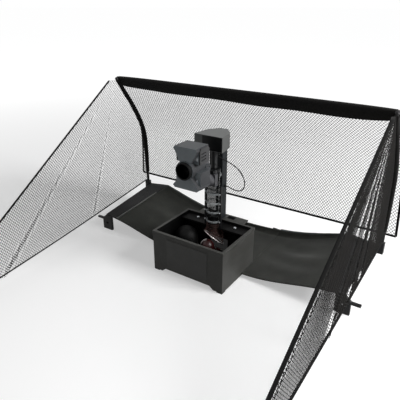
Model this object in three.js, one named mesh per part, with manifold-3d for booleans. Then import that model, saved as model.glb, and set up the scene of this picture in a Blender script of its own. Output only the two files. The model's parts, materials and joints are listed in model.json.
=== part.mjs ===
// Table tennis robot: a ball hopper with a feed tube, a throwing head that pans and tilts, and a catch net.
// Millimetres, +Z up, front (where the balls fly) towards -Y, table surface at z = 0.

import * as THREE from 'three';
import { mergeVertices } from 'three/addons/utils/BufferGeometryUtils.js';
import Module from 'manifold-3d';

const wasm = await Module();
wasm.setup();

// Shared clearances and fineness
const seatGap = 0.3;
const cutOverrun = 4;
const boreSides = 24;
const smallSides = 16;

// Ball
const ballDiameter = 40;
const channelClearance = 3;
const channelRadius = (ballDiameter + channelClearance) / 2;

// Hopper
const hopperWidth = 330;
const hopperDepth = 250;
const hopperTop = 178;
const rimWidth = 12;
const rimHeight = 13;
const rimStep = 2;
const hopperWall = 5;
const footHeight = 3;
const footSize = 26;
const legWidth = 43;
const archHeight = 17;
const floorTop = 24;
const floorThickness = 4;
const gateWidth = 84;
const gateHeight = 58;
const gateLift = 3;
const panelWidth = 190;
const panelThickness = 1.2;
const panelMargin = 9;

// Feed tube and its parts
const tubeBack = 70;
const tubeWall = 3;
const tubeOuter = channelRadius + tubeWall;
const tubeTop = 398;
const ringThickness = 6;
const ringHeight = 6;
const ringPlaces = { low: 191, mid: 232, high: 272 };
const hoodMouthRadius = 44;
const hoodLift = 71;
const hoodSlantRise = 82;
const hoodSlantTurn = 58;
const hoodSkirtTop = 130;
const hoodNeckStart = 155;
const hoodLedge = 158;
const hoodWall = 2.6;
const hoodCollar = 4;
const railWidth = 8;
const railDepth = 11;
const railLead = 8;
const clampThickness = 4;
const clampHeight = 11;
const clampDrop = 3;
const bracketThickness = 8;
const bracketTop = 166;
const bracketLead = 10;
const screwSpacing = 180;
const screwHeadRadius = 6;
const screwHeadHeight = 5;

// Feed wheel and its drive
const wheelCentre = { x: 7, y: 15 };
const wheelRadius = 58;
const wheelHeight = 44;
const pocketCount = 5;
const pocketRadius = 23;
const hubDomeRadius = 30;
const hubDomeHeight = 100;
const motorWallGap = 4;
const motorWheelGap = 3;
const motorY = 24;
const motorTop = 150;

// Post, rear deck and top box
const postWidth = 30;
const postDepth = 38;
const postFront = 108;
const deckWidth = 220;
const deckReach = 43;
const deckThickness = 6;
const deckFlange = 62;
const slotWidth = 38;
const slotDepth = 24;
const slotStart = 20;
const boxBottom = 498;
const boxHeight = 59;
const boxTop = boxBottom + boxHeight;
const boxFront = 25;
const boxLength = 117;
const boxHalfWidth = 62;
const boxBack = boxFront + boxLength;
const boxSideLength = 77;
const boxSideTaper = 13;
const boxBackHalf = 17;
const boxWall = 3;
const windowWidth = 86;
const windowSideMargin = 2.5;
const windowMargin = 2;
const windowThickness = 2;
const boardThickness = 2;
const boardHalf = { x: 30, y: 24 };
const servoHalf = { x: 20, y: 18 };
const servoLift = 40;
const servoTop = boxBottom + servoLift;
const switchHalf = { width: 6, height: 9, depth: 4 };
const switchSlack = 0.8;
const switchRise = 37;
const switchLift = boxBottom + switchRise;
const socketRadius = 5.5;
const socketBore = 2.8;
const socketLength = 12;
const socketRise = 15;
const socketLift = boxBottom + socketRise;

// Pan shaft, cap and elbow
const shaftRadius = 13;
const capRadius = 26;
const capRise = 50;
const capThickness = 13;
const capTongueHalf = 18;
const capTongueReach = 34;
const elbowWall = 3.5;
const elbowHalf = 26;
const elbowSaddleBack = 14;
const elbowSaddleFront = 34;
const elbowBottom = 352;
const capBottom = elbowBottom + capRise;
const ductRise = 22;
const ductLevel = elbowBottom + ductRise;
const panGap = 0.8;
const capToeGap = 6.5;
const elbowRoute = { first: { y: 18, z: 383 }, second: { y: -4, z: 408 }, third: { y: -20, z: 436 } };
const tiltAxis = { y: -30, z: 455 };
const drumRadius = 27;
const pinRadius = 6;
const pinLength = 11;
const windowStart = 350;

// Throwing head
const nip = { y: -92, z: 464 };
const headFront = -122;
const headBack = -44;
const headRise = 85;
const headTop = nip.z + headRise;
const headDrop = 73;
const headBottom = nip.z - headDrop;
const headTopHalf = 50;
const headBottomHalf = 57;
const headWaistHalf = 22;
const headEdge = 9;
const waistHalfHeight = 24;
const waistTop = nip.z + waistHalfHeight;
const waistBottom = nip.z - waistHalfHeight;
const upperBlockDrop = 3;
const lowerBlockRise = 3;
const upperBlockHalf = 46;
const upperBlockFront = -104;
const upperBlockBottom = waistTop;
const lowerBlockHalf = 54;
const lowerBlockDrop = 6;
const lowerBlockTop = nip.z - lowerBlockDrop;
const splitGap = 0.3;
const bossRadius = 36;
const bossFront = -126;
const nozzleFront = -138;
const nozzleOuter = 33;
const nozzleInner = 27;
const nozzleRound = 2;
const earHalfHeight = 14;
const earThickness = 12;
const earOuter = 40;
const drumGap = 1.2;
const cutHalfAngle = 69;
const cutReach = 120;
const wheelPairRadius = 24;
const ballSqueeze = 2;
const tyreDepth = 9;
const tyreHalfWidth = 9;
const wheelGap = 2.4;
const axleRadius = 2.5;
const motorGap = 5;
const throwMotorRadius = 15;
const throwMotorLength = 26;
const ventThickness = 5;
const ventCorner = 9;
const ventSlotLength = 28;
const ventSlotHeight = 4;
const ventSlotPitch = 11.5;
const ventSlotSlope = 1.5;
const ventSlotInset = 9;
const ventSlotLift = 24;

// Head cable
const cableDiameter = 4;
const cableSides = 8;
const cableSteps = 34;
const glandRadius = 5;
const glandTipRadius = 3.4;
const glandLength = 9;
const upperGland = { x: -2, z: 463 };
const lowerGland = { y: 127, z: 325 };

// Net frame's main sizes
const netWidth = 1210;
const netReach = 880;
const netHeight = 690;

// Catch tray
const trayBack = 373;
const trayFront = 20;
const trayThickness = 3;
const trayGateLevel = 26;
const trayCornerLevel = 15;
const trayRodRise = 37;
const trayBackLevel = 50;
const trayBackRise = 50;
const trayLip = 25;
const trayLipRun = 5;
const trayBackOverrun = 15;
const rodInset = 100;
const rodTurn = 23;
const flapFrontInset = 33;
const flapBackInset = 13;
const trayBackSpan = netWidth / 2 + trayBackOverrun;
const rodFront = { x: netWidth / 2 - rodInset, y: trayFront, z: 75 };
const rodBack = { x: rodFront.x - rodTurn, y: 290, z: 118 };
const rodRadius = 3;
const flapFrontEdge = { x: netWidth / 2 - flapFrontInset, z: 80 };
const flapBackEdge = { x: netWidth / 2 - flapBackInset, z: 112 };
const clipWidth = 56;
const clipDepth = 12;
const clipHole = 7;
const clipHoleLevel = 34;
const clipProng = 34;
const clipProngHeight = 9;
const clipProngDrop = 22;
const clipInset = 30;

// Poles and net
const poleX = netWidth / 2;
const poleRadius = 7;
const poleSteps = 14;
const poleBase = { y: trayBack, z: 100 };
const poleStraight = { y: 358, z: 400 };
const poleBend = { y: 310, z: 510 };
const poleTop = { y: 189, z: netHeight };
const barDrop = 1;
const socketBlock = 22;
const socketTop = 131;
const socketBottom = 84;
const railRadius = 5;
const railBehind = 5.6;
const railBelow = 5;
const railInnerEnd = 142;
const railSteps = 12;
const railFootWidth = 20;
const railStrutHeight = 9;
const railStrutLift = 3;
const barRadius = 6;
const barOverhang = 8;
const netThickness = 3;
const netStrand = 7;
const sleeveHeight = 50;
const hemLevel = 165;
const hemSpread = 43;
const hemHalf = poleX + hemSpread;
const hemWidth = 12;
const backNetSetback = 9;
const backNetColumns = 16;
const backNetRows = 6;
const sideNetColumns = 10;
const sideNetRows = 6;
const sideNetTopWidth = 46;
const sideNetBorder = 26;
const sideNetPoleGap = 1.4;
const sideNetFootInset = 30;
const sideNetFoot = { x: poleX - sideNetFootInset, y: -netReach };
const sideNetTopDrop = 6;
const sideNetTopLevel = netHeight - sideNetTopDrop;

// Materials
function finish(colour, roughness, metalness = 0) {
  return new THREE.MeshStandardMaterial({ color: colour, roughness, metalness });
}

const colours = {
  hopper: 0x3f3f40, hopperPanel: 0x4a4a48, inside: 0x1b1b1c, rubber: 0x151516, steel: 0xb9bcc0,
  red: 0x6a1417, clear: 0xdfe6e8, pale: 0xd5d8da, post: 0x5d656b, box: 0x6b6f72, glossBlack: 0x0e0f11,
  board: 0x1f5a3a, servo: 0x202124, head: 0x555b60, headPanel: 0x5c5e60, elbow: 0x66696e, tyre: 0x24262a,
  hub: 0x9aa0a6, tray: 0x444642, flap: 0x1d1d1e, rod: 0xc9c9c4, net: 0x141312,
};

const origin = new THREE.Group();
const robot = new THREE.Group();
const backReach = poleBase.y + socketBlock / 2;
robot.position.y = -(sideNetFoot.y + backReach) / 2;
origin.add(robot);

function place(name, geometry, material, x = 0, y = 0, z = 0) {
  const mesh = new THREE.Mesh(geometry, material);
  mesh.name = name;
  mesh.position.set(x, y, z);
  robot.add(mesh);
  return mesh;
}

// Geometry helpers

// A box from its lowest corner to its highest.
function block(x0, x1, y0, y1, z0, z1) {
  const shape = new THREE.BoxGeometry(x1 - x0, y1 - y0, z1 - z0);
  return shape.translate((x0 + x1) / 2, (y0 + y1) / 2, (z0 + z1) / 2);
}

// A cylinder along Z from z0 to z1.
function rod(radius, z0, z1, sides = boreSides, tip = radius) {
  const shape = new THREE.CylinderGeometry(tip, radius, z1 - z0, sides);
  return shape.rotateX(Math.PI / 2).translate(0, 0, (z0 + z1) / 2);
}

// A cylinder along X from x0 to x1 through (y, z).
function crossRod(radius, x0, x1, y, z, sides = boreSides) {
  const shape = new THREE.CylinderGeometry(radius, radius, x1 - x0, sides);
  return shape.rotateZ(Math.PI / 2).translate((x0 + x1) / 2, y, z);
}

// A cylinder along Y from y0 to y1 through (x, z).
function throughRod(radius, y0, y1, x, z, sides = boreSides) {
  const shape = new THREE.CylinderGeometry(radius, radius, y1 - y0, sides);
  return shape.translate(x, (y0 + y1) / 2, z);
}

// A turned profile of [radius, height] points that closes on itself, round the Z axis.
function turned(points, sides = boreSides) {
  const profile = points.map(([radius, height]) => new THREE.Vector2(radius, height));
  profile.push(profile[0].clone());
  return outward(new THREE.LatheGeometry(profile, sides).rotateX(Math.PI / 2));
}

// A flat outline of [x, z] points, carried along Y from y0 to y1.
function slab(points, y0, y1, holes = []) {
  const shape = outline(points);
  holes.forEach((hole) => shape.holes.push(outline(hole)));
  const body = new THREE.ExtrudeGeometry(shape, { depth: y1 - y0, bevelEnabled: false });
  return body.rotateX(Math.PI / 2).translate(0, y1, 0);
}

// A flat outline of [y, z] points, carried along X from x0 to x1.
function sideSlab(points, x0, x1) {
  const body = new THREE.ExtrudeGeometry(outline(points), { depth: x1 - x0, bevelEnabled: false });
  return outward(body.rotateX(Math.PI / 2).rotateZ(Math.PI / 2).translate(x0, 0, 0));
}

// A flat outline of [x, y] points, carried up from z0 to z1.
function plan(points, z0, z1) {
  const body = new THREE.ExtrudeGeometry(outline(points), { depth: z1 - z0, bevelEnabled: false });
  return body.translate(0, 0, z0);
}

function outline(points) {
  return new THREE.Shape(points.map(([a, b]) => new THREE.Vector2(a, b)));
}

// A round bar along a curve through the points.
function bar(points, radius, sides, steps) {
  const circle = new THREE.Shape();
  const corners = Array.from({ length: sides }, (_, i) => (2 * Math.PI * i) / sides);
  corners.forEach((angle, i) => {
    const x = radius * Math.cos(angle);
    const y = radius * Math.sin(angle);
    if (i === 0) circle.moveTo(x, y);
    else circle.lineTo(x, y);
  });
  circle.closePath();
  const path = new THREE.CatmullRomCurve3(points.map((p) => new THREE.Vector3(...p)));
  return outward(new THREE.ExtrudeGeometry(circle, { steps, extrudePath: path, bevelEnabled: false }));
}

// Position-only copy with shared vertices, faces pointing out.
function outward(geometry) {
  const bare = geometry.clone();
  bare.deleteAttribute('normal');
  bare.deleteAttribute('uv');
  const merged = mergeVertices(bare);
  const position = merged.attributes.position;
  const index = merged.index.array;
  const a = new THREE.Vector3();
  const b = new THREE.Vector3();
  const c = new THREE.Vector3();
  let volume = 0;
  for (let i = 0; i < index.length; i += 3) {
    a.fromBufferAttribute(position, index[i]);
    b.fromBufferAttribute(position, index[i + 1]);
    c.fromBufferAttribute(position, index[i + 2]);
    volume += a.dot(b.cross(c));
  }
  if (volume < 0) {
    for (let i = 0; i < index.length; i += 3) [index[i], index[i + 1]] = [index[i + 1], index[i]];
  }
  return merged;
}

function solid(geometry) {
  const merged = outward(geometry);
  const mesh = new wasm.Mesh({
    numProp: 3,
    vertProperties: new Float32Array(merged.attributes.position.array),
    triVerts: new Uint32Array(merged.index.array),
  });
  return new wasm.Manifold(mesh);
}

function faces(body) {
  const mesh = body.getMesh();
  const geometry = new THREE.BufferGeometry();
  geometry.setAttribute('position', new THREE.BufferAttribute(new Float32Array(mesh.vertProperties), 3));
  geometry.setIndex(new THREE.BufferAttribute(new Uint32Array(mesh.triVerts), 1));
  return geometry;
}

// The first solid, joined with some and cut by others.
function shaped(base, joins, cuts) {
  let body = solid(base);
  joins.forEach((part) => { body = body.add(solid(part)); });
  cuts.forEach((part) => { body = body.subtract(solid(part)); });
  return faces(body);
}

// A thick sheet over a grid of u and v values. spot(u, v) gives the middle, across gives the way
// through the thickness, and open(i, j) says which cells are left out. Faces, backs and all edges close.
function sheet(us, vs, spot, across, thickness, open = () => false) {
  const vertices = [];
  const triangles = [];
  const columns = us.length;
  const at = (i, j, side) => (j * columns + i) * 2 + side;
  vs.forEach((v) => us.forEach((u) => {
    const middle = spot(u, v);
    const way = across(u, v);
    [-1, 1].forEach((side) => {
      middle.forEach((value, k) => vertices.push(value + (side * way[k] * thickness) / 2));
    });
  }));
  const quad = (a, b, c, d) => triangles.push(a, b, c, a, c, d);
  const full = (i, j) => i >= 0 && j >= 0 && i < columns - 1 && j < vs.length - 1 && !open(i, j);
  for (let j = 0; j < vs.length - 1; j += 1) {
    for (let i = 0; i < columns - 1; i += 1) {
      if (full(i, j)) {
        const under = [at(i, j, 0), at(i + 1, j, 0), at(i + 1, j + 1, 0), at(i, j + 1, 0)];
        const upper = [at(i, j, 1), at(i + 1, j, 1), at(i + 1, j + 1, 1), at(i, j + 1, 1)];
        quad(...upper);
        quad(under[0], under[3], under[2], under[1]);
        if (!full(i, j - 1)) quad(under[0], under[1], upper[1], upper[0]);
        if (!full(i + 1, j)) quad(under[1], under[2], upper[2], upper[1]);
        if (!full(i, j + 1)) quad(under[2], under[3], upper[3], upper[2]);
        if (!full(i - 1, j)) quad(under[3], under[0], upper[0], upper[3]);
      }
    }
  }
  const geometry = new THREE.BufferGeometry();
  geometry.setAttribute('position', new THREE.BufferAttribute(new Float32Array(vertices), 3));
  geometry.setIndex(triangles);
  return outward(geometry);
}

function mix(a, b, t) {
  return a + (b - a) * t;
}

// Grid lines that leave strands of one width between equal gaps, from 0 to 1 over a length.
function strandLines(count, length, first, last, strand) {
  const lines = [0];
  const pitch = (length - first - last + strand) / count;
  for (let i = 0; i < count; i += 1) {
    lines.push((first + i * pitch) / length, (first + (i + 1) * pitch - strand) / length);
  }
  lines.push(1);
  return lines;
}

const sides = [['left', -1], ['right', 1]];

// Hopper shell: four walls with a thicker rim, arched between its corner legs, with a low ball gate behind
const halfWidth = hopperWidth / 2;
const halfDepth = hopperDepth / 2;
const bodyHalfWidth = halfWidth - rimStep;
const bodyHalfDepth = halfDepth - rimStep;
const rimBottom = hopperTop - rimHeight;
const shellBottom = footHeight + seatGap;
const innerHalfWidth = bodyHalfWidth - hopperWall;
const innerHalfDepth = bodyHalfDepth - hopperWall;
const archHalf = halfWidth - legWidth;
const archPoints = [
  [-archHalf, shellBottom - cutOverrun],
  [archHalf, shellBottom - cutOverrun],
  [archHalf, shellBottom],
  [archHalf - archHeight, archHeight],
  [archHeight - archHalf, archHeight],
  [-archHalf, shellBottom],
];
const gateBottom = floorTop + gateLift;
place('hopper_shell', shaped(
  block(-bodyHalfWidth, bodyHalfWidth, -bodyHalfDepth, bodyHalfDepth, shellBottom, rimBottom),
  [block(-halfWidth, halfWidth, -halfDepth, halfDepth, rimBottom, hopperTop)],
  [
    block(-innerHalfWidth, innerHalfWidth, -innerHalfDepth, innerHalfDepth, 0, rimBottom),
    block(rimWidth - halfWidth, halfWidth - rimWidth, rimWidth - halfDepth, halfDepth - rimWidth,
      rimBottom - cutOverrun, hopperTop + cutOverrun),
    slab(archPoints, -halfDepth, halfDepth),
    block(-gateWidth / 2, gateWidth / 2, innerHalfDepth - cutOverrun, halfDepth,
      gateBottom, gateBottom + gateHeight),
  ],
), finish(colours.hopper, 0.55));

// Floor of the hopper: a tray bottom held between the walls, above the arches
const floorBottom = floorTop - floorThickness;
place('hopper_floor', block(
  seatGap - innerHalfWidth, innerHalfWidth - seatGap,
  seatGap - innerHalfDepth, innerHalfDepth - seatGap,
  floorBottom, floorTop,
), finish(colours.inside, 0.6));

// Front panel: a thin plate between the rim and the arch
place('front_panel', block(
  -panelWidth / 2, panelWidth / 2,
  -bodyHalfDepth - seatGap - panelThickness, -bodyHalfDepth - seatGap,
  archHeight + panelMargin, rimBottom - panelMargin,
), finish(colours.hopperPanel, 0.5));

// Rubber feet under the four corner legs
const footInset = footSize / 2;
[['front', -1], ['rear', 1]].forEach(([endName, end]) => {
  sides.forEach(([sideName, side]) => {
    place(`foot_${endName}_${sideName}`, block(-footInset, footInset, -footInset, footInset, 0, footHeight),
      finish(colours.rubber, 0.9), side * (bodyHalfWidth - footInset), end * (bodyHalfDepth - footInset));
  });
});

// Rear deck: a folded bracket on the back wall, with a hand slot
const deckFront = halfDepth + seatGap;
const deckBack = halfDepth + deckReach;
const slotFront = (deckFront + deckBack - slotDepth) / 2;
place('rear_deck', shaped(
  block(-deckWidth / 2, deckWidth / 2, deckFront, deckBack, hopperTop - deckThickness, hopperTop),
  [block(-deckWidth / 2, deckWidth / 2, deckFront, deckFront + deckThickness,
    hopperTop - deckFlange, hopperTop)],
  [block(slotStart, slotStart + slotWidth, slotFront, slotFront + slotDepth,
    hopperTop - deckThickness - cutOverrun, hopperTop + cutOverrun)],
), finish(colours.hopper, 0.6));

// Bracket that holds the hood and the tube: a bar across the back of the opening with a half-round notch
const hoodNeckRadius = tubeOuter + seatGap + hoodCollar;
const openHalfWidth = halfWidth - rimWidth;
const openHalfDepth = halfDepth - rimWidth;
place('tube_bracket', shaped(
  block(seatGap - openHalfWidth, openHalfWidth - seatGap, tubeBack - bracketLead, openHalfDepth - seatGap,
    bracketTop - bracketThickness, bracketTop),
  [],
  [rod(hoodNeckRadius + seatGap, bracketTop - bracketThickness - cutOverrun, bracketTop + cutOverrun)
    .translate(0, tubeBack, 0)],
), finish(colours.inside, 0.6));
const screwBack = (tubeBack + openHalfDepth) / 2;
sides.forEach(([sideName, side]) => {
  place(`bracket_screw_${sideName}`, rod(screwHeadRadius, seatGap, screwHeadHeight, smallSides),
    finish(colours.steel, 0.3, 0.9), (side * screwSpacing) / 2, screwBack, bracketTop);
});

// Feed motor: a domed housing on the floor, between the left wall and the feed wheel
const wheelLeft = wheelCentre.x - wheelRadius;
const motorRadius = (innerHalfWidth + wheelLeft - motorWallGap - motorWheelGap) / 2;
const motorX = motorWallGap + motorRadius - innerHalfWidth;
const motorLift = floorTop + seatGap;
const domePoints = [[0, motorLift], [motorRadius, motorLift]];
const domeSteps = 5;
for (let i = 0; i <= domeSteps; i += 1) {
  const angle = (Math.PI / 2) * (i / domeSteps);
  const height = motorTop - motorRadius + motorRadius * Math.sin(angle);
  domePoints.push([i === domeSteps ? 0 : motorRadius * Math.cos(angle), height]);
}
place('feed_motor', outward(new THREE.LatheGeometry(
  domePoints.map(([r, h]) => new THREE.Vector2(r, h)), boreSides,
).rotateX(Math.PI / 2)), finish(colours.inside, 0.45), motorX, motorY);

// Feed wheel: a disc with round pockets that carry balls under the tube, and a dome in its middle
const wheelBottom = floorTop + seatGap;
const pocketReach = Math.hypot(wheelCentre.x, tubeBack - wheelCentre.y);
const pocketAim = Math.atan2(tubeBack - wheelCentre.y, -wheelCentre.x);
const pocketCuts = Array.from({ length: pocketCount }, (_, i) => {
  const angle = pocketAim + (2 * Math.PI * i) / pocketCount;
  return rod(pocketRadius, wheelBottom - cutOverrun, wheelBottom + wheelHeight + cutOverrun, smallSides)
    .translate(pocketReach * Math.cos(angle), pocketReach * Math.sin(angle), 0);
});
const hubDomeShares = [[0, 0], [1, 0], [1, 0.65], [0.86, 0.82], [0.5, 0.95], [0, 1]];
const hubDome = new THREE.LatheGeometry(hubDomeShares.map(([radiusShare, heightShare]) => new THREE.Vector2(
  hubDomeRadius * radiusShare, wheelBottom + hubDomeHeight * heightShare,
)), boreSides).rotateX(Math.PI / 2);
place('feed_wheel', shaped(
  rod(wheelRadius, wheelBottom, wheelBottom + wheelHeight, 2 * boreSides),
  [hubDome],
  pocketCuts,
), finish(colours.red, 0.3), wheelCentre.x, wheelCentre.y);

// Feed hood: a clear skirt with a slanting mouth that narrows to the collar in which the tube stands
const hoodMouthInner = hoodMouthRadius - hoodWall;
const hoodCutHalf = hoodMouthRadius + cutOverrun;
const hoodCut = slab([
  [-hoodCutHalf, hoodLift - cutOverrun],
  [hoodCutHalf, hoodLift - cutOverrun],
  [hoodCutHalf, hoodLift],
  [-hoodCutHalf, hoodLift + hoodSlantRise],
], -hoodCutHalf, hoodCutHalf).rotateZ(THREE.MathUtils.degToRad(hoodSlantTurn));
place('feed_hood', shaped(turned([
  [hoodMouthInner, hoodLift],
  [hoodMouthRadius, hoodLift],
  [hoodMouthRadius, hoodSkirtTop],
  [hoodNeckRadius, hoodNeckStart],
  [hoodNeckRadius, hopperTop],
  [tubeOuter + seatGap, hopperTop],
  [tubeOuter + seatGap, hoodLedge],
  [channelRadius, hoodLedge],
  [channelRadius, hoodNeckStart],
  [hoodMouthInner, hoodSkirtTop],
]), [], [hoodCut]), finish(colours.clear, 0.1), 0, tubeBack);

// Feed tube: clear, with its front half open at the top where the elbow takes the balls
place('feed_tube', shaped(
  turned([
    [channelRadius, hoodLedge + seatGap],
    [tubeOuter, hoodLedge + seatGap],
    [tubeOuter, tubeTop],
    [channelRadius, tubeTop],
  ]),
  [],
  [block(-tubeOuter - cutOverrun, tubeOuter + cutOverrun, -tubeOuter - cutOverrun, 0,
    windowStart, tubeTop + cutOverrun)],
), finish(colours.clear, 0.08), 0, tubeBack);

// Rings round the tube
const ringInner = tubeOuter + seatGap;
const ringOuter = ringInner + ringThickness;
Object.entries(ringPlaces).forEach(([name, level]) => {
  place(`tube_ring_${name}`, turned([
    [ringInner, -ringHeight / 2], [ringOuter, -ringHeight / 2],
    [ringOuter, ringHeight / 2], [ringInner, ringHeight / 2],
  ]), finish(colours.pale, 0.2), 0, tubeBack, level);
});

// Rails beside the tube, standing on the rim bracket and held by the rings
const railTop = elbowBottom - ringHeight;
const railInner = ringOuter + seatGap;
sides.forEach(([sideName, side]) => {
  const rail = block(-railWidth / 2, railWidth / 2, -railLead, railDepth - railLead,
    bracketTop + seatGap, railTop);
  place(`tube_rail_${sideName}`, rail, finish(colours.glossBlack, 0.4),
    side * (railInner + railWidth / 2), tubeBack);
});

// Clamp round the back of the tube's top
const clampTop = tubeTop - clampDrop;
const clampOuter = ringInner + clampThickness;
place('tube_clamp', shaped(
  turned([
    [ringInner, clampTop - clampHeight], [clampOuter, clampTop - clampHeight],
    [clampOuter, clampTop], [ringInner, clampTop],
  ]),
  [],
  [block(-clampOuter - cutOverrun, clampOuter + cutOverrun, -clampOuter - cutOverrun, cutOverrun,
    clampTop - clampHeight - cutOverrun, clampTop + cutOverrun)],
), finish(colours.pale, 0.25), 0, tubeBack);

// Post: a square tube standing on the rim and the rear deck
const postBack = postFront + postDepth;
const postHalf = postWidth / 2;
place('post', block(-postHalf, postHalf, postFront, postBack, hopperTop + seatGap, boxBottom - seatGap),
  finish(colours.post, 0.45, 0.3));

// Top box: a six-sided shell over the post that houses the pan drive
const boxPlan = [
  [-boxHalfWidth, boxFront],
  [boxHalfWidth, boxFront],
  [boxHalfWidth - boxSideTaper, boxFront + boxSideLength],
  [boxBackHalf, boxBack],
  [-boxBackHalf, boxBack],
  [boxSideTaper - boxHalfWidth, boxFront + boxSideLength],
];
const boxInnerShare = 1 - (2 * boxWall) / (boxBack - boxFront);
const boxMiddle = (boxFront + boxBack) / 2;
const boxInnerPlan = boxPlan.map(([x, y]) => [
  x * (1 - boxWall / boxBackHalf * (Math.abs(x) === boxBackHalf ? 1 : boxBackHalf / boxHalfWidth)),
  boxMiddle + (y - boxMiddle) * boxInnerShare,
]);
const windowRight = boxHalfWidth - windowSideMargin;
const windowLeft = windowRight - windowWidth;
const windowBottom = boxBottom + windowMargin;
const windowTop = boxTop - windowMargin;
place('top_box', shaped(
  plan(boxPlan, boxBottom, boxTop),
  [],
  [
    plan(boxInnerPlan, boxBottom + boxWall, boxTop - boxWall),
    rod(shaftRadius + seatGap, boxBottom - cutOverrun, boxBottom + boxWall + cutOverrun)
      .translate(0, tubeBack, 0),
    block(windowLeft, windowRight, boxFront - cutOverrun, boxFront + boxWall + cutOverrun,
      windowBottom, windowTop),
    block(-switchHalf.width - switchSlack, switchHalf.width + switchSlack,
      boxBack - boxWall - cutOverrun, boxBack + cutOverrun,
      switchLift - switchHalf.height - switchSlack, switchLift + switchHalf.height + switchSlack),
    throughRod(socketRadius + seatGap, boxBack - boxWall - cutOverrun, boxBack + cutOverrun,
      0, socketLift, smallSides),
  ],
), finish(colours.box, 0.45, 0.2));
place('top_box_window', block(
  windowLeft + seatGap, windowRight - seatGap,
  boxFront + windowThickness / 2, boxFront + windowThickness / 2 + windowThickness,
  windowBottom + seatGap, windowTop - seatGap,
), finish(colours.glossBlack, 0.15));

// Inside the top box: the pan servo on the bottom plate and the control board on the servo
const servoBottom = boxBottom + boxWall + seatGap;
place('pan_servo', block(-servoHalf.x, servoHalf.x, -servoHalf.y, servoHalf.y, servoBottom, servoTop),
  finish(colours.servo, 0.5), 0, tubeBack);
place('control_board', block(-boardHalf.x, boardHalf.x, -boardHalf.y, boardHalf.y, 0, boardThickness),
  finish(colours.board, 0.6), 0, tubeBack, servoTop + seatGap);

// Rocker switch and power socket in the back of the top box
place('power_switch', sideSlab([
  [switchHalf.depth, -switchHalf.height], [switchHalf.depth / 2, 0], [switchHalf.depth, switchHalf.height],
  [-switchHalf.depth, switchHalf.height], [-switchHalf.depth, -switchHalf.height],
], -switchHalf.width, switchHalf.width), finish(colours.glossBlack, 0.35),
0, boxBack - boxWall / 2, switchLift);
place('power_socket', shaped(
  throughRod(socketRadius, boxBack - socketLength, boxBack, 0, socketLift, smallSides),
  [],
  [throughRod(socketBore, boxBack - socketLength / 2, boxBack + cutOverrun, 0, socketLift, smallSides)],
), finish(colours.rubber, 0.5));

// Pan shaft, the cap on it and the elbow that carries balls to the head
const capTop = capBottom + seatGap + capThickness;
place('pan_shaft', rod(shaftRadius, capTop + seatGap, boxBottom + boxWall),
  finish(colours.glossBlack, 0.4), 0, tubeBack);
place('elbow_cap', shaped(
  rod(capRadius, capBottom + seatGap, capTop),
  [block(-capTongueHalf, capTongueHalf, -capTongueReach, 0, capBottom + seatGap, capTop)],
  [],
), finish(colours.glossBlack, 0.5), 0, tubeBack);

const elbowOuter = channelRadius + elbowWall;
const ductStart = tubeBack - elbowSaddleBack;
const elbowMiddle = [elbowRoute.first, elbowRoute.second, elbowRoute.third].map((p) => [0, p.y, p.z]);
const elbowPath = [[0, ductStart, ductLevel], ...elbowMiddle, [0, tiltAxis.y, tiltAxis.z]];
const borePath = [
  [0, tubeBack, ductLevel], ...elbowMiddle, [0, tiltAxis.y, tiltAxis.z],
  [0, tiltAxis.y - drumRadius - cutOverrun, nip.z],
];
const elbowSteps = 9;
place('feed_elbow', shaped(
  bar(elbowPath, elbowOuter, smallSides, elbowSteps),
  [
    crossRod(drumRadius, -elbowHalf, elbowHalf, tiltAxis.y, tiltAxis.z),
    crossRod(pinRadius, -elbowHalf - pinLength, elbowHalf + pinLength, tiltAxis.y, tiltAxis.z, smallSides),
    block(-elbowHalf, elbowHalf, tubeBack - elbowSaddleFront, ductStart, elbowBottom, capBottom),
    block(-capTongueHalf, capTongueHalf, tubeBack - capTongueReach, ductStart, ductLevel, capBottom),
  ],
  [
    bar(borePath, channelRadius, smallSides, elbowSteps + 2),
    rod(tubeOuter + panGap, elbowBottom - cutOverrun, capBottom + cutOverrun, 2 * boreSides)
      .translate(0, tubeBack, 0),
    block(-elbowHalf, elbowHalf, tubeBack - capTongueReach - capToeGap, tubeBack,
      capBottom, capBottom + capRadius),
  ],
), finish(colours.elbow, 0.4));

// Throwing head: an hourglass front with square blocks behind it, split level with the balls' way
const hourglass = [
  [-headTopHalf + headEdge / 2, headTop],
  [-headTopHalf, headTop - headEdge],
  [-headWaistHalf, waistTop],
  [-headWaistHalf, waistBottom],
  [-headBottomHalf, headBottom + headEdge],
  [-headBottomHalf + headEdge, headBottom],
];
const hourglassPoints = [...hourglass, ...hourglass.map(([x, z]) => [-x, z]).reverse()];
const lowerBlockBottom = headBottom + lowerBlockRise;
const cutAngle = (degrees) => [cutReach * Math.cos(THREE.MathUtils.degToRad(degrees)),
  cutReach * Math.sin(THREE.MathUtils.degToRad(degrees))];
const neckAngle = THREE.MathUtils.radToDeg(
  Math.atan2(elbowRoute.second.z - tiltAxis.z, elbowRoute.second.y - tiltAxis.y),
);
const neckCut = [
  [tiltAxis.y, tiltAxis.z],
  [tiltAxis.y + cutAngle(neckAngle - cutHalfAngle)[0], tiltAxis.z + cutAngle(neckAngle - cutHalfAngle)[1]],
  [tiltAxis.y + cutReach, tiltAxis.z - cutReach],
  [tiltAxis.y + cutReach, tiltAxis.z],
];
const wheelOffset = ballDiameter / 2 - ballSqueeze / 2 + wheelPairRadius;
const throwWheels = [['upper', nip.z + wheelOffset], ['lower', nip.z - wheelOffset]];
const wheelHollow = wheelPairRadius + wheelGap;
const motorStart = tyreHalfWidth + motorGap;
const motorEnd = motorStart + throwMotorLength;
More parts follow.
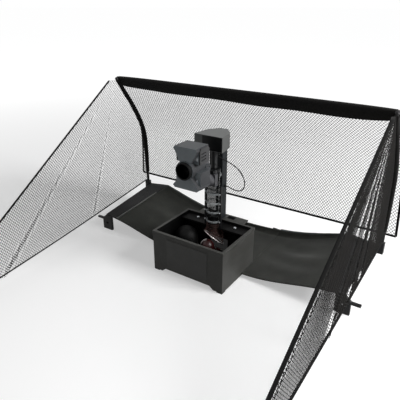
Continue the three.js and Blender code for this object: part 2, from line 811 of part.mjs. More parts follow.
const head = [
  slab(hourglassPoints, headFront, headBack),
  block(-upperBlockHalf, upperBlockHalf, upperBlockFront, headBack,
    upperBlockBottom, headTop - upperBlockDrop),
  block(-lowerBlockHalf, lowerBlockHalf, upperBlockFront, headBack, lowerBlockBottom, lowerBlockTop),
  throughRod(bossRadius, bossFront, headBack, 0, nip.z),
  block(-earOuter, -earOuter + earThickness, headBack - cutOverrun, tiltAxis.y, tiltAxis.z - earHalfHeight,
    tiltAxis.z + earHalfHeight),
  block(earOuter - earThickness, earOuter, headBack - cutOverrun, tiltAxis.y, tiltAxis.z - earHalfHeight,
    tiltAxis.z + earHalfHeight),
  crossRod(earHalfHeight, -earOuter, -earOuter + earThickness, tiltAxis.y, tiltAxis.z),
  crossRod(earHalfHeight, earOuter - earThickness, earOuter, tiltAxis.y, tiltAxis.z),
];
const drumHollowHalf = elbowHalf + drumGap;
const ventBottom = upperBlockBottom;
const ventTop = headTop - upperBlockDrop;
const ventBack = headBack;
const ventFront = upperBlockFront;
const headCuts = [
  throughRod(channelRadius, bossFront - cutOverrun, tiltAxis.y, 0, nip.z),
  crossRod(drumRadius + drumGap, -drumHollowHalf, drumHollowHalf, tiltAxis.y, tiltAxis.z, 2 * boreSides),
  crossRod(pinRadius + seatGap, -earOuter - cutOverrun, earOuter + cutOverrun, tiltAxis.y, tiltAxis.z),
  sideSlab(neckCut, -drumHollowHalf, drumHollowHalf),
];
sides.forEach(([, side]) => {
  const [near, far] = [side * upperBlockHalf, side * headBottomHalf].sort((a, b) => a - b);
  headCuts.push(block(near, far, ventFront - seatGap, headBack + cutOverrun,
    ventBottom - seatGap, headTop + cutOverrun));
});
throwWheels.forEach(([, level]) => {
  headCuts.push(crossRod(wheelHollow, -tyreHalfWidth - wheelGap, tyreHalfWidth + wheelGap, nip.y, level));
  headCuts.push(crossRod(throwMotorRadius + seatGap, 0, motorEnd + seatGap, nip.y, level));
});
let headSolid = solid(head[0]);
head.slice(1).forEach((part) => { headSolid = headSolid.add(solid(part)); });
headCuts.forEach((part) => { headSolid = headSolid.subtract(solid(part)); });
const headSpan = cutReach;
const splitTop = nip.z + splitGap / 2;
const splitBottom = nip.z - splitGap / 2;
const upperHalfSpace = solid(block(-headSpan, headSpan, bossFront - headSpan, headSpan,
  splitTop, headTop + headSpan));
const lowerHalfSpace = solid(block(-headSpan, headSpan, bossFront - headSpan, headSpan,
  headBottom - headSpan, splitBottom));
place('head_upper_shell', faces(headSolid.intersect(upperHalfSpace)), finish(colours.head, 0.45));
place('head_lower_shell', faces(headSolid.intersect(lowerHalfSpace)), finish(colours.head, 0.45));

// Nozzle ring on the front boss
place('nozzle_ring', turned([
  [nozzleInner, 0],
  [nozzleOuter, 0],
  [nozzleOuter, -(bossFront - nozzleFront) + nozzleRound + seatGap],
  [nozzleOuter - nozzleRound, nozzleFront - bossFront + seatGap],
  [nozzleInner + nozzleRound, nozzleFront - bossFront + seatGap],
  [nozzleInner, -(bossFront - nozzleFront) + nozzleRound + seatGap],
], 2 * boreSides).rotateX(-Math.PI / 2), finish(colours.inside, 0.35), 0, bossFront - seatGap, nip.z);

// Vent panels on the sides of the head, each with three slots
const ventSlots = [-1, 0, 1].map((i) => {
  const middleLevel = ventBottom + ventSlotLift + i * ventSlotPitch;
  const start = ventFront + ventSlotInset;
  const rise = ventSlotSlope / 2;
  return [
    [start, middleLevel - rise], [start + ventSlotLength, middleLevel + rise],
    [start + ventSlotLength, middleLevel + rise + ventSlotHeight],
    [start, middleLevel - rise + ventSlotHeight],
  ];
});
const ventOutline = [
  [ventFront, ventBottom], [ventBack, ventBottom],
  [ventBack, ventTop - ventCorner], [ventBack - ventCorner, ventTop],
  [ventFront + ventCorner, ventTop], [ventFront, ventTop - ventCorner],
];
sides.forEach(([sideName, side]) => {
  const near = upperBlockHalf + seatGap;
  const span = [side * near, side * (near + ventThickness)].sort((a, b) => a - b);
  place(`${sideName}_vent_panel`, shaped(
    sideSlab(ventOutline, span[0], span[1]),
    [],
    ventSlots.map((slot) => sideSlab(slot, span[0] - cutOverrun, span[1] + cutOverrun)),
  ), finish(colours.headPanel, 0.45));
});

// Throwing wheels, each a hub with its axle and a rubber tyre, and their motors
throwWheels.forEach(([name, level]) => {
  const hubRadius = wheelPairRadius - tyreDepth;
  place(`${name}_wheel_hub`, shaped(
    crossRod(hubRadius, -tyreHalfWidth, tyreHalfWidth, 0, 0),
    [crossRod(axleRadius, 0, motorStart - seatGap, 0, 0, smallSides)],
    [],
  ), finish(colours.hub, 0.3, 0.8), 0, nip.y, level);
  place(`${name}_wheel_tyre`, turned([
    [hubRadius + seatGap, -tyreHalfWidth], [wheelPairRadius, -tyreHalfWidth],
    [wheelPairRadius, tyreHalfWidth], [hubRadius + seatGap, tyreHalfWidth],
  ]).rotateY(Math.PI / 2), finish(colours.tyre, 0.85), 0, nip.y, level);
  place(`${name}_motor`, crossRod(throwMotorRadius, motorStart, motorEnd, 0, 0),
    finish(colours.steel, 0.35, 0.8), 0, nip.y, level);
});

// Cable: out of the post's front, round to the right and back into its side
const glandSeat = postFront - seatGap;
place('cable_gland_upper', rod(glandRadius, 0, glandLength, smallSides, glandTipRadius).rotateX(Math.PI / 2),
  finish(colours.rubber, 0.7), upperGland.x, glandSeat, upperGland.z);
place('cable_gland_lower', rod(glandRadius, 0, glandLength, smallSides, glandTipRadius).rotateY(Math.PI / 2),
  finish(colours.rubber, 0.7), postHalf + seatGap, lowerGland.y, lowerGland.z);
const cableRoute = [
  [-2, 98.4, 463], [-2, 92, 463], [4, 86, 461], [16, 84, 457.5], [32, 88, 451], [52, 94, 442], [74, 99, 430],
  [95, 104, 412], [109, 108, 389], [115, 112, 364], [110, 116, 341], [96, 119, 325], [78, 122, 319],
  [58, 124.5, 319], [40, 126.5, 322.5], [31, 127, 325], [24.6, 127, 325],
];
place('head_cable', bar(cableRoute, cableDiameter / 2, cableSides, cableSteps), finish(colours.rubber, 0.6));

// Catch tray: a deck behind the hopper and a wing on each side, all falling towards the ball gate
// Height of the tray's front edge at x: it rises from the hopper as the square of the way to the end rod.
function trayFrontLevel(x) {
  const share = (x - halfWidth) / (rodFront.x - halfWidth);
  return trayCornerLevel + trayRodRise * share * share;
}

// Height of the tray's back edge at x: it rises faster towards the poles.
const trayBackBend = 1.5;
function trayBackEdge(x) {
  return trayBackLevel + trayBackRise * (x / trayBackSpan) ** trayBackBend;
}

// Level of the tray at x, with v from 0 at the front edge to 1 at the top of the back lip.
function trayLevel(x, v, lipStart) {
  const low = trayFrontLevel(x);
  const high = trayBackEdge(x) - trayLip;
  const lipRise = trayLip * Math.max(0, (v - lipStart) / (1 - lipStart));
  return mix(low, high, Math.min(v / lipStart, 1)) + lipRise;
}

const rodMiddleShare = 0.5;
const foldDrop = rodRadius + seatGap + trayThickness / 2;
const upright = () => [0, 0, 1];
const lipStartShare = 1 - trayLipRun / (trayBack - trayFront);
const wingRowShares = [0, 0.2, 0.4, 0.6, 0.8, lipStartShare, 1];
const wingColumnShares = [0, 0.25, 0.5, 0.75, 1];
const flapColumn = 2;
const deckStart = bodyHalfDepth + seatGap;
const deckLipShare = 1 - trayLipRun / (trayBack - deckStart);
const deckRowShares = [0, 0.5, deckLipShare, 1];
const deckColumnShares = [-1, -0.5, 0, 0.5, 1];
const lean = () => [0, -Math.SQRT1_2, Math.SQRT1_2];

place('tray_deck', sheet(
  deckColumnShares,
  deckRowShares,
  (u, v) => {
    const x = u * (halfWidth - seatGap);
    const back = trayBackEdge(Math.abs(x));
    const bedLevel = mix(trayGateLevel, back - trayLip, Math.min(v / deckLipShare, 1));
    const lipRise = trayLip * Math.max(0, (v - deckLipShare) / (1 - deckLipShare));
    return [x, mix(deckStart, trayBack, v), bedLevel + lipRise];
  },
  (u, v) => (v >= deckLipShare ? lean() : upright()),
  trayThickness,
), finish(colours.tray, 0.8));

sides.forEach(([sideName, side]) => {
  const inner = halfWidth + seatGap;
  place(`${sideName}_wing`, sheet(
    [...wingColumnShares, flapColumn],
    wingRowShares,
    (u, v) => {
      const y = mix(trayFront, trayBack, v);
      const foldX = mix(rodFront.x, rodBack.x, (y - rodFront.y) / (rodBack.y - rodFront.y));
      const rodLevel = mix(rodFront.z, rodBack.z, (y - rodFront.y) / (rodBack.y - rodFront.y));
      const edgeX = mix(flapFrontEdge.x, flapBackEdge.x, v);
      const edgeLevel = mix(flapFrontEdge.z, flapBackEdge.z, v);
      if (u === flapColumn) return [side * edgeX, y, edgeLevel];
      const x = mix(inner, foldX, u);
      const foldLevel = rodLevel - foldDrop;
      const sagged = mix(trayLevel(x, v, lipStartShare), foldLevel, u * u);
      return [side * x, y, sagged];
    },
    (u, v) => (v >= lipStartShare && u < 1 ? lean() : upright()),
    trayThickness,
  ), finish(colours.tray, 0.8));
  place(`${sideName}_end_rod`, bar([
    [side * rodFront.x, rodFront.y, rodFront.z],
    [side * mix(rodFront.x, rodBack.x, rodMiddleShare), mix(rodFront.y, rodBack.y, rodMiddleShare),
      mix(rodFront.z, rodBack.z, rodMiddleShare)],
    [side * rodBack.x, rodBack.y, rodBack.z],
  ], rodRadius, cableSides, 2), finish(colours.rod, 0.35, 0.4));
});

// Clips that hold up the tray's outer front corners, with a hook to the outside
function flapUnder(x) {
  const share = (x - rodFront.x) / (flapFrontEdge.x - rodFront.x);
  return mix(rodFront.z - foldDrop, flapFrontEdge.z, share) - trayThickness / 2 - seatGap;
}

sides.forEach(([sideName, side]) => {
  const left = flapFrontEdge.x - clipInset;
  const clipTop = flapUnder(flapFrontEdge.x);
  const right = left + clipWidth;
  const points = [
    [left, 0], [right, 0], [right, clipTop - clipProngDrop - clipProngHeight],
    [right + clipProng, clipTop - clipProngDrop - clipProngHeight],
    [right + clipProng, clipTop - clipProngDrop],
    [right, clipTop - clipProngDrop], [flapFrontEdge.x, clipTop], [left, flapUnder(left)],
  ];
  const middle = left + clipWidth / 2;
  place(`${sideName}_clip`, shaped(
    slab(points.map(([x, z]) => [side * x, z]), trayFront, trayFront + clipDepth),
    [],
    [throughRod(clipHole, trayFront - cutOverrun, trayFront + clipDepth + cutOverrun,
      side * middle, clipHoleLevel, smallSides)],
  ), finish(colours.flap, 0.6));
});

// Poles: straight up from their sockets, then leaning forward to the top bar
const poleProfile = [poleBase, poleStraight, poleBend, poleTop];
const poleCurve = new THREE.CatmullRomCurve3(poleProfile.map((p) => new THREE.Vector3(0, p.y, p.z)));

// Depth of the pole's middle at a height, read from the curve's even steps.
const poleSamples = poleCurve.getPoints(poleSteps * 4);
function poleDepth(level) {
  const above = poleSamples.findIndex((p) => p.z >= level);
  if (above <= 0) return above === 0 ? poleBase.y : poleTop.y;
  const low = poleSamples[above - 1];
  const high = poleSamples[above];
  return mix(low.y, high.y, (level - low.z) / (high.z - low.z));
}

// How much longer a level cut through the leaning pole is than its diameter.
function poleStretch(level) {
  const step = poleRadius / 2;
  const slope = (poleDepth(level + step) - poleDepth(level - step)) / (2 * step);
  return Math.hypot(1, slope);
}

// Level of the tray's back edge at x, out to the socket of the pole.
function backEdgeLevel(x) {
  const share = (trayBack - rodFront.y) / (rodBack.y - rodFront.y);
  const foldX = mix(rodFront.x, rodBack.x, share);
  const foldLevel = mix(rodFront.z, rodBack.z, share) - foldDrop;
  const reach = Math.max(0, (x - halfWidth) / (foldX - halfWidth));
  if (reach <= 1) return mix(trayBackEdge(x), foldLevel, reach * reach);
  return mix(foldLevel, flapBackEdge.z, (x - foldX) / (flapBackEdge.x - foldX));
}

// Back rails: a socket for the pole, a rod behind the tray's lip, a foot on the table, a strut to the hopper
const railY = trayBack + railBehind;
const railOuterEnd = poleX - socketBlock / 2 + railRadius;
sides.forEach(([sideName, side]) => {
  const railPath = Array.from({ length: railSteps + 1 }, (_, i) => {
    const x = mix(railInnerEnd, railOuterEnd, i / railSteps);
    return [side * x, railY, backEdgeLevel(Math.min(x, flapBackEdge.x)) - railBelow];
  });
  const footNear = side * (railInnerEnd - railFootWidth / 2);
  const footFar = side * (railInnerEnd + railFootWidth / 2);
  const [footLeft, footRight] = [footNear, footFar].sort((p, q) => p - q);
  const railTopLevel = backEdgeLevel(railInnerEnd) - railBelow + railRadius;
  const socketX = side * poleX;
  place(`${sideName}_back_rail`, shaped(
    bar(railPath, railRadius, cableSides, railSteps),
    [
      block(socketX - socketBlock / 2, socketX + socketBlock / 2, poleBase.y - socketBlock / 2,
        poleBase.y + socketBlock / 2, socketBottom, socketTop),
      block(footLeft, footRight, railY - railRadius / 2, railY + railRadius, 0, railTopLevel),
      block(footLeft, footRight, deckStart, railY, railStrutLift, railStrutLift + railStrutHeight),
    ],
    [rod(poleRadius + seatGap, poleBase.z - seatGap, socketTop + cutOverrun, smallSides)
      .translate(socketX, poleBase.y, 0)],
  ), finish(colours.flap, 0.6));
  place(`${sideName}_pole`, bar([
    [0, poleBase.y, poleBase.z], [0, poleBase.y, socketTop + socketBlock],
    ...poleProfile.slice(1).map((p) => [0, p.y, p.z]),
  ], poleRadius, cableSides, poleSteps), finish(colours.net, 0.6), side * poleX);
});

// Top bar across the backs of the poles' upper ends
const barLevel = poleTop.z - barDrop;
const barY = poleDepth(barLevel) + poleRadius + backNetSetback;
const barHalf = poleX + barOverhang;
place('top_bar', crossRod(barRadius, -barHalf, barHalf, barY, barLevel, cableSides),
  finish(colours.net, 0.7));

// Back net: a sleeve band under the bar, a mesh of square gaps and a hem
const hemFlare = 0.6;
const netTop = barLevel - barRadius - seatGap;
const backNetHeight = netTop - hemLevel;
const backRowLines = strandLines(backNetRows, backNetHeight, sleeveHeight, hemWidth, netStrand);
const backColumnLines = strandLines(backNetColumns, 2 * poleX, hemWidth, hemWidth, netStrand);
const isGap = (i, j) => i % 2 === 1 && j % 2 === 1;
const backwards = () => [0, 1, 0];
place('back_net', sheet(
  backColumnLines,
  backRowLines,
  (u, v) => {
    const level = mix(netTop, hemLevel, v);
    const half = mix(poleX, hemHalf, v ** hemFlare);
    const behind = v === 0 ? barY : poleDepth(level) + poleRadius + backNetSetback;
    return [mix(-half, half, u), behind, level];
  },
  backwards,
  netThickness,
  isGap,
), finish(colours.net, 0.9));

// Side nets: from the pole forward to a foot on the table, with a firm border
const sideBottomLevel = socketTop + netThickness;
const sideNetHeight = sideNetTopLevel - sideBottomLevel;
const sideRowLines = strandLines(sideNetRows, sideNetHeight, sideNetTopWidth, hemWidth, netStrand);
const sideNetLength = sideNetTopWidth * sideNetColumns;
const sideColumnLines = strandLines(sideNetColumns, sideNetLength, sideNetBorder, sideNetBorder, netStrand);
sides.forEach(([sideName, side]) => {
  place(`${sideName}_side_net`, sheet(
    sideColumnLines,
    sideRowLines,
    (u, v) => {
      const backLevel = mix(sideNetTopLevel, sideBottomLevel, v);
      const backY = poleDepth(backLevel) - (poleRadius + sideNetPoleGap) * poleStretch(backLevel);
      const frontY = mix(poleDepth(sideNetTopLevel) - sideNetTopWidth, sideNetFoot.y, v);
      const frontLevel = mix(sideNetTopLevel, 0, v);
      const x = mix(poleX, mix(poleX, sideNetFoot.x, v), u);
      return [side * x, mix(backY, frontY, u), mix(backLevel, frontLevel, u)];
    },
    () => [1, 0, 0],
    netThickness,
    isGap,
  ), finish(colours.net, 0.9));
});

export default origin;
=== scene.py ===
import bpy
import bmesh
import json
import math
import numpy as np
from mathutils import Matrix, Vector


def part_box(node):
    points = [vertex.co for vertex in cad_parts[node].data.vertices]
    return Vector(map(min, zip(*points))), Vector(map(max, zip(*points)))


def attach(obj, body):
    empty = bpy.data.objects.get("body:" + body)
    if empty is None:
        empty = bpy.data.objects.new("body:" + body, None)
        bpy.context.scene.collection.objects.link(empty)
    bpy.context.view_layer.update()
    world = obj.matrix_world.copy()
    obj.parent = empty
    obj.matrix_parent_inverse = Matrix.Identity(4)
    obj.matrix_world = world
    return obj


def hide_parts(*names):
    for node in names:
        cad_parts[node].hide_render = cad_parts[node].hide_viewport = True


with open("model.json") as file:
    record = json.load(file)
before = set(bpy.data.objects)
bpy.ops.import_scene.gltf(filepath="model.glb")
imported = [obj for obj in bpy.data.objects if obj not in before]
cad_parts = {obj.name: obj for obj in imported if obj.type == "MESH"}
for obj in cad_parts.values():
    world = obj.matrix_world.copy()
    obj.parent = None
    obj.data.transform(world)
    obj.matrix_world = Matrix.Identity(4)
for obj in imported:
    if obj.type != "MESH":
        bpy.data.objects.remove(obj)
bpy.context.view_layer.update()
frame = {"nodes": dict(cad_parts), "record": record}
mm = 0.001
hopperLow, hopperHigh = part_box("hopper_shell")
hopperY = (hopperLow[1] + hopperHigh[1]) / 2        # middle of the hopper, front to back
pi = math.pi


# Point in metres from millimetres measured at the hopper's middle: (x, y + hopper middle, z).
def spot(x, y, z):
    return np.stack(np.broadcast_arrays(x * mm, y * mm + hopperY, z * mm), -1).astype(float)


# Straight blend: a (1 - t) + b t.
def blendOf(a, b, t):
    return a + (b - a) * t


# Vector over its own length, for whole arrays.
def unit(v):
    return v / np.maximum(np.linalg.norm(v, axis=-1, keepdims=True), 1e-12)


# Centripetal spline: on each span a cubic whose end slopes weigh neighbours by the root of their
# distance.
def threadCurve(points, perSpan):
    p = np.asarray(points, float)
    p = np.vstack([2 * p[0] - p[1], p, 2 * p[-1] - p[-2]])
    d = np.sqrt(np.linalg.norm(np.diff(p, axis=0), axis=1))[:, None]
    a, b, c, e = p[:-3], p[1:-2], p[2:-1], p[3:]
    d0, d1, d2 = d[:-2], d[1:-1], d[2:]
    s = ((b - a) / d0 - (c - a) / (d0 + d1) + (c - b) / d1) * d1
    f = ((c - b) / d1 - (e - b) / (d1 + d2) + (e - c) / d2) * d1
    t = np.linspace(0, 1, perSpan, endpoint=False)[None, :, None]
    b, c, s, f = (q[:, None, :] for q in (b, c, s, f))
    body = b + s * t + (3 * (c - b) - 2 * s - f) * t ** 2 + (2 * (b - c) + s + f) * t ** 3
    return np.vstack([body.reshape(-1, p.shape[1]), p[-2]])


# The same line with its points spread evenly: each is read off where the length run so far is its share.
def evenAlong(points, count):
    reach = np.concatenate([[0], np.cumsum(np.linalg.norm(np.diff(points, axis=0), axis=1))])
    wanted = np.linspace(0, reach[-1], count)
    return np.stack([np.interp(wanted, reach, points[:, k]) for k in range(points.shape[1])], -1)


# Length of a line: sum of the distances between neighbouring points.
def lengthOf(points):
    return float(np.linalg.norm(np.diff(points, axis=0), axis=1).sum())


# Soft uneven height, mostly between -1 and 1: the mean of five sines of a and b, times 1.6. Their
# directions, rates and phases come from the seed.
def wrinkle(a, b, seed):
    dice = np.random.default_rng(seed)
    way = dice.uniform(0, 2 * pi, 5)
    pace = dice.uniform(0.6, 2.2, 5)
    start = dice.uniform(0, 2 * pi, 5)
    total = np.zeros(np.broadcast(a, b).shape)
    for k in range(5):
        total = total + np.sin(pace[k] * (a * np.cos(way[k]) + b * np.sin(way[k])) + start[k]) / 5
    return total * 1.6


# Object of that data in the scene.
def newObject(name, data):
    made = bpy.data.objects.new(name, data)
    bpy.context.collection.objects.link(made)
    return made


# Faces of a closed mesh turned to point out.
def turnOutward(mesh):
    sheet = bmesh.new()
    sheet.from_mesh(mesh)
    bmesh.ops.recalc_face_normals(sheet, faces=sheet.faces)
    sheet.to_mesh(mesh)
    sheet.free()


# Piece from an array of points and arrays of corner numbers, with one UV pair for each point.
def meshPiece(name, vertices, faces, finish, body="base", uv=None, smooth=True):
    mesh = bpy.data.meshes.new(name)
    vertices = np.asarray(vertices, float).reshape(-1, 3)
    loops = np.concatenate([np.asarray(f).reshape(-1) for f in faces])
    sizes = np.concatenate([np.full(len(f), np.asarray(f).shape[1]) for f in faces])
    mesh.vertices.add(len(vertices))
    mesh.vertices.foreach_set("co", vertices.reshape(-1))
    mesh.loops.add(len(loops))
    mesh.loops.foreach_set("vertex_index", loops.astype(np.int32))
    mesh.polygons.add(len(sizes))
    mesh.polygons.foreach_set("loop_start", np.concatenate([[0], np.cumsum(sizes)[:-1]]).astype(np.int32))
    if uv is not None:
        layer = mesh.uv_layers.new(name="cloth")
        layer.data.foreach_set("uv", np.asarray(uv, float)[loops].reshape(-1))
    mesh.update(calc_edges=True)
    mesh.validate()
    mesh.polygons.foreach_set("use_smooth", np.full(len(mesh.polygons), smooth))
    mesh.materials.append(finishes[finish])
    turnOutward(mesh)
    piece = newObject(name, mesh)
    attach(piece, body)
    return piece


# Faces between rings of equal sides, and a cap on the first and the last ring.
def ringFaces(rings, sides):
    i, j = np.meshgrid(np.arange(rings - 1), np.arange(sides), indexing="ij")
    k = (j + 1) % sides
    quads = np.stack([i * sides + j, i * sides + k, (i + 1) * sides + k, (i + 1) * sides + j], -1)
    return [quads.reshape(-1, 4), np.arange(sides)[None, ::-1], (np.arange(sides) + (rings - 1) * sides)[None]]


# Tube along a path: rings of path + wide cos(a) n + deep sin(a) b, in millimetres, with n = tangent x
# across and b = tangent x n. The tube is round where deep isn't given.
def tubePiece(name, path, wide, sides, across, finish, body="base", deep=None):
    path = np.asarray(path, float)
    tangent = unit(np.gradient(path, axis=0))
    n = unit(np.cross(tangent, np.broadcast_to(across, tangent.shape)))
    b = np.cross(tangent, n)
    angle = (np.arange(sides) * 2 * pi / sides)[None, :, None]
    deep = wide if deep is None else deep
    wide, deep = (np.broadcast_to(size, len(path))[:, None, None] * mm for size in (wide, deep))
    rings = path[:, None] + wide * np.cos(angle) * n[:, None] + deep * np.sin(angle) * b[:, None]
    return meshPiece(name, rings, ringFaces(len(path), sides), finish, body)


# Turned piece: each profile point (r, h) in millimetres goes to (r cos a, r sin a, h) about the
# centre. Its axis stands up, or lies along y.
def lathePiece(name, profile, sides, centre, finish, body="base", lying=False):
    profile = np.asarray(profile, float)
    angle = np.arange(sides) * 2 * pi / sides
    r, h = profile[:, 0][:, None], profile[:, 1][:, None]
    points = np.stack([r * np.cos(angle), r * np.sin(angle), h + 0 * angle], -1)
    if lying:
        points = points[..., [0, 2, 1]]
    return meshPiece(name, points * mm + np.asarray(centre), ringFaces(len(profile), sides), finish, body)


# Unit normals of a grid: cross product of its two slopes.
def surfaceNormals(points):
    return unit(np.cross(np.gradient(points, axis=0), np.gradient(points, axis=1)))


# Thin closed cloth over a grid P(u, v): P + n t/2 and P - n t/2 joined at the rims, with UV in
# metres.
def clothPiece(name, points, thickness, finish):
    rows, columns = points.shape[:2]
    n = surfaceNormals(points)
    half = n * thickness * mm / 2
    both = np.stack([points + half, points - half])
    stepU = np.linalg.norm(np.diff(points, axis=0), axis=-1)
    stepV = np.linalg.norm(np.diff(points, axis=1), axis=-1)
    runU = np.concatenate([np.zeros((1, columns)), np.cumsum(stepU, axis=0)])
    runV = np.concatenate([np.zeros((rows, 1)), np.cumsum(stepV, axis=1)], axis=1)
    uv = np.tile(np.stack([runU, runV], -1).reshape(-1, 2), (2, 1))
    i, j = np.meshgrid(np.arange(rows - 1), np.arange(columns - 1), indexing="ij")
    a, b = i * columns + j, (i + 1) * columns + j
    upper = np.stack([a, b, b + 1, a + 1], -1).reshape(-1, 4)
    under = upper[:, ::-1] + rows * columns
    rim = np.concatenate([
        np.arange(rows) * columns, (rows - 1) * columns + np.arange(1, columns),
        np.arange(rows - 2, -1, -1) * columns + columns - 1, np.arange(columns - 2, 0, -1)])
    following = np.roll(rim, -1)
    edge = np.stack([following, rim, rim + rows * columns, following + rows * columns], -1)
    return meshPiece(name, both, [upper, under, edge], finish, uv=uv)


# Rods of four sides with closed ends, from rings of points [rod, ring, side].
def rodPiece(name, rings, finish, uv=None):
    count, m = rings.shape[:2]
    base = (np.arange(count) * m * 4)[:, None, None]
    i = np.arange(m - 1)[None, :, None] * 4
    j = np.arange(4)[None, None, :]
    k = (j + 1) % 4
    quads = np.stack([base + i + j, base + i + 4 + j, base + i + 4 + k, base + i + k], -1).reshape(-1, 4)
    first = base[:, :, 0] + np.arange(4)[None, :]
    last = base[:, :, 0] + (m - 1) * 4 + np.arange(3, -1, -1)[None, :]
    return meshPiece(name, rings, [quads, first, last], finish, uv=uv)


# Twines over a surface: line k runs from starts[k] to ends[k] in its flat cut, lay() bends the cut
# into place, and each twine is a four sided rod about its line, width across in millimetres.
def strandPiece(name, starts, ends, lay, steps, width, finish):
    t = np.linspace(0, 1, steps + 1)[None, :, None]
    flat = blendOf(starts[:, None], ends[:, None], t)
    line = lay(flat[..., 0], flat[..., 1])
    tangent = unit(np.gradient(line, axis=1))
    step = 0.5 * mm
    aside = lay(flat[..., 0] + step, flat[..., 1]) - line
    below = lay(flat[..., 0], flat[..., 1] + step) - line
    normal = unit(np.cross(aside, below))
    beside = np.cross(tangent, normal)
    half = width * mm / 2
    ring = np.stack([line + beside * half, line + normal * half, line - beside * half, line - normal * half], 2)
    return rodPiece(name, ring, finish, np.repeat(flat.reshape(-1, 2), 4, axis=0))


# Two families of parallel lines at plus and minus the nets' slope over a box, each cut to where
# inside() holds.
def clippedLines(inside, low, high):
    pitch, slope = nets["pitch"] * mm, math.radians(nets["slope"])
    starts, ends = [], []
    corners = np.array([[low[0], low[1]], [high[0], low[1]], [low[0], high[1]], [high[0], high[1]]])
    for angle in (slope, pi - slope):
        way = np.array([math.cos(angle), math.sin(angle)])
        side = np.array([-way[1], way[0]])
        offsets = np.arange((corners @ side).min() + pitch / 2, (corners @ side).max(), pitch)
        reach = np.linspace((corners @ way).min(), (corners @ way).max(), 700)
        points = offsets[:, None, None] * side + reach[None, :, None] * way
        held = inside(points[..., 0], points[..., 1])
        good = held.sum(1) > 6
        held, points = held[good], points[good]
        first = held.argmax(1)
        last = held.shape[1] - 1 - held[:, ::-1].argmax(1)
        row = np.arange(len(held))
        starts.append(points[row, first])
        ends.append(points[row, last])
    return np.concatenate(starts), np.concatenate(ends)


# Row of stitches: a small rod of length run after every gap along a line, rounded on the upper side.
def stitchPiece(name, path, finish, run=4.0, gap=2.6, size=0.9):
    count = max(2, int(lengthOf(path) / ((run + gap) * mm)))
    line = evenAlong(path, 2 * count)
    a, b = line[0::2], line[0::2] + unit(line[1::2] - line[0::2]) * run * mm
    up = np.broadcast_to((0.0, 0.0, 1.0), a.shape)
    across = unit(np.cross(unit(b - a), up)) * size * mm / 2
    lift = up * size * mm / 2
    rings = []
    for share, full in ((0, 0.5), (0.25, 1), (0.75, 1), (1, 0.5)):
        p = blendOf(a, b, share)
        rings.append(np.stack([p + across * full, p + lift * full, p - across * full, p - lift * full], 1))
    return rodPiece(name, np.stack(rings, 1), finish)


# Name of the CAD body that holds a node.
def bodyOf(node):
    bodies = frame["record"]["behaviour"]["bodies"]
    return next(name for name, nodes in bodies.items() if node in nodes)


# Angles in degrees and distances in millimetres that clean the solids and find their sharp edges.
edges = {"sharp": 35, "flat": 0.6, "join": 0.01, "sliver": 0.02, "segments": 2}


# Copy of a CAD solid with its flat faces joined and its sharp edges rounded to a radius of edge
# millimetres.
def softened(node, finish, edge):
    mesh = frame["nodes"][node].data.copy()
    sheet = bmesh.new()
    sheet.from_mesh(mesh)
    bmesh.ops.remove_doubles(sheet, verts=sheet.verts, dist=edges["join"] * mm)
    bmesh.ops.dissolve_limit(sheet, angle_limit=math.radians(edges["flat"]), verts=sheet.verts,
                             edges=sheet.edges)
    bmesh.ops.dissolve_degenerate(sheet, dist=edges["sliver"] * mm, edges=sheet.edges)
    sheet.to_mesh(mesh)
    sheet.free()
    mesh.materials.clear()
    mesh.materials.append(finishes[finish])
    mesh.polygons.foreach_set("use_smooth", np.full(len(mesh.polygons), True))
    mesh.set_sharp_from_angle(angle=math.radians(edges["sharp"]))
    piece = newObject(node + "_finished", mesh)
    if edge:
        bevel = piece.modifiers.new("roundedEdges", "BEVEL")
        bevel.width = edge * mm
        bevel.segments = edges["segments"]
        bevel.limit_method = "ANGLE"
        bevel.angle_limit = math.radians(edges["sharp"])
        bevel.harden_normals = True
        bevel.use_clamp_overlap = True
    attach(piece, bodyOf(node))
    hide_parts(node)


# Camera first, then the materials and the cable.

cameraView = {"place": (867.7, -1319.0, 1016.3), "turn": 33.92, "down": 24.26, "lens": 40.11, "sensor": 36.0}
cameraData = bpy.data.cameras.new("photoCamera")
cameraData.lens = cameraView["lens"]
cameraData.sensor_width = cameraView["sensor"]
cameraData.clip_start = 0.05
cameraData.clip_end = 60
camera = newObject("photoCamera", cameraData)
camera.location = spot(*cameraView["place"])
camera.rotation_euler = (math.radians(90 - cameraView["down"]), 0, math.radians(cameraView["turn"]))
bpy.context.scene.camera = camera
print("camera placed")


# Linear colour from an sRGB hex code: below 0.04045 c / 12.92, else ((c + 0.055) / 1.055) to the
# power 2.4.
def linearColour(code):
    value = int(code.lstrip("#"), 16)
    c = np.array([(value >> 16) & 255, (value >> 8) & 255, value & 255]) / 255
    c = np.where(c <= 0.04045, c / 12.92, ((c + 0.055) / 1.055) ** 2.4)
    return (*[float(v) for v in c], 1.0)


# New node with its sockets or properties set, its inputs linked, and a ramp's stops filled.
def addNode(tree, kind, settings=None, links=None, stops=None):
    node = tree.nodes.new("ShaderNode" + kind)
    for key, value in (settings or {}).items():
        if isinstance(key, int) or key in node.inputs:
            node.inputs[key].default_value = value
        else:
            setattr(node, key, value)
    for key, source in (links or {}).items():
        tree.links.new(source, node.inputs[key])
    for place, (position, colour) in enumerate(stops or []):
        element = node.color_ramp.elements[place] if place < 2 else node.color_ramp.elements.new(position)
        element.position = position
        element.color = colour
    return node


# Empty material, its node tree and the coordinates on the piece.
def newFinish(name):
    finish = bpy.data.materials.new(name)
    finish.use_nodes = True
    tree = finish.node_tree
    tree.nodes.clear()
    return finish, tree, addNode(tree, "TexCoord").outputs


# Noise scale that gives features of that size on coordinates in metres.
def scaledBy(millimetres):
    return 1000.0 / millimetres


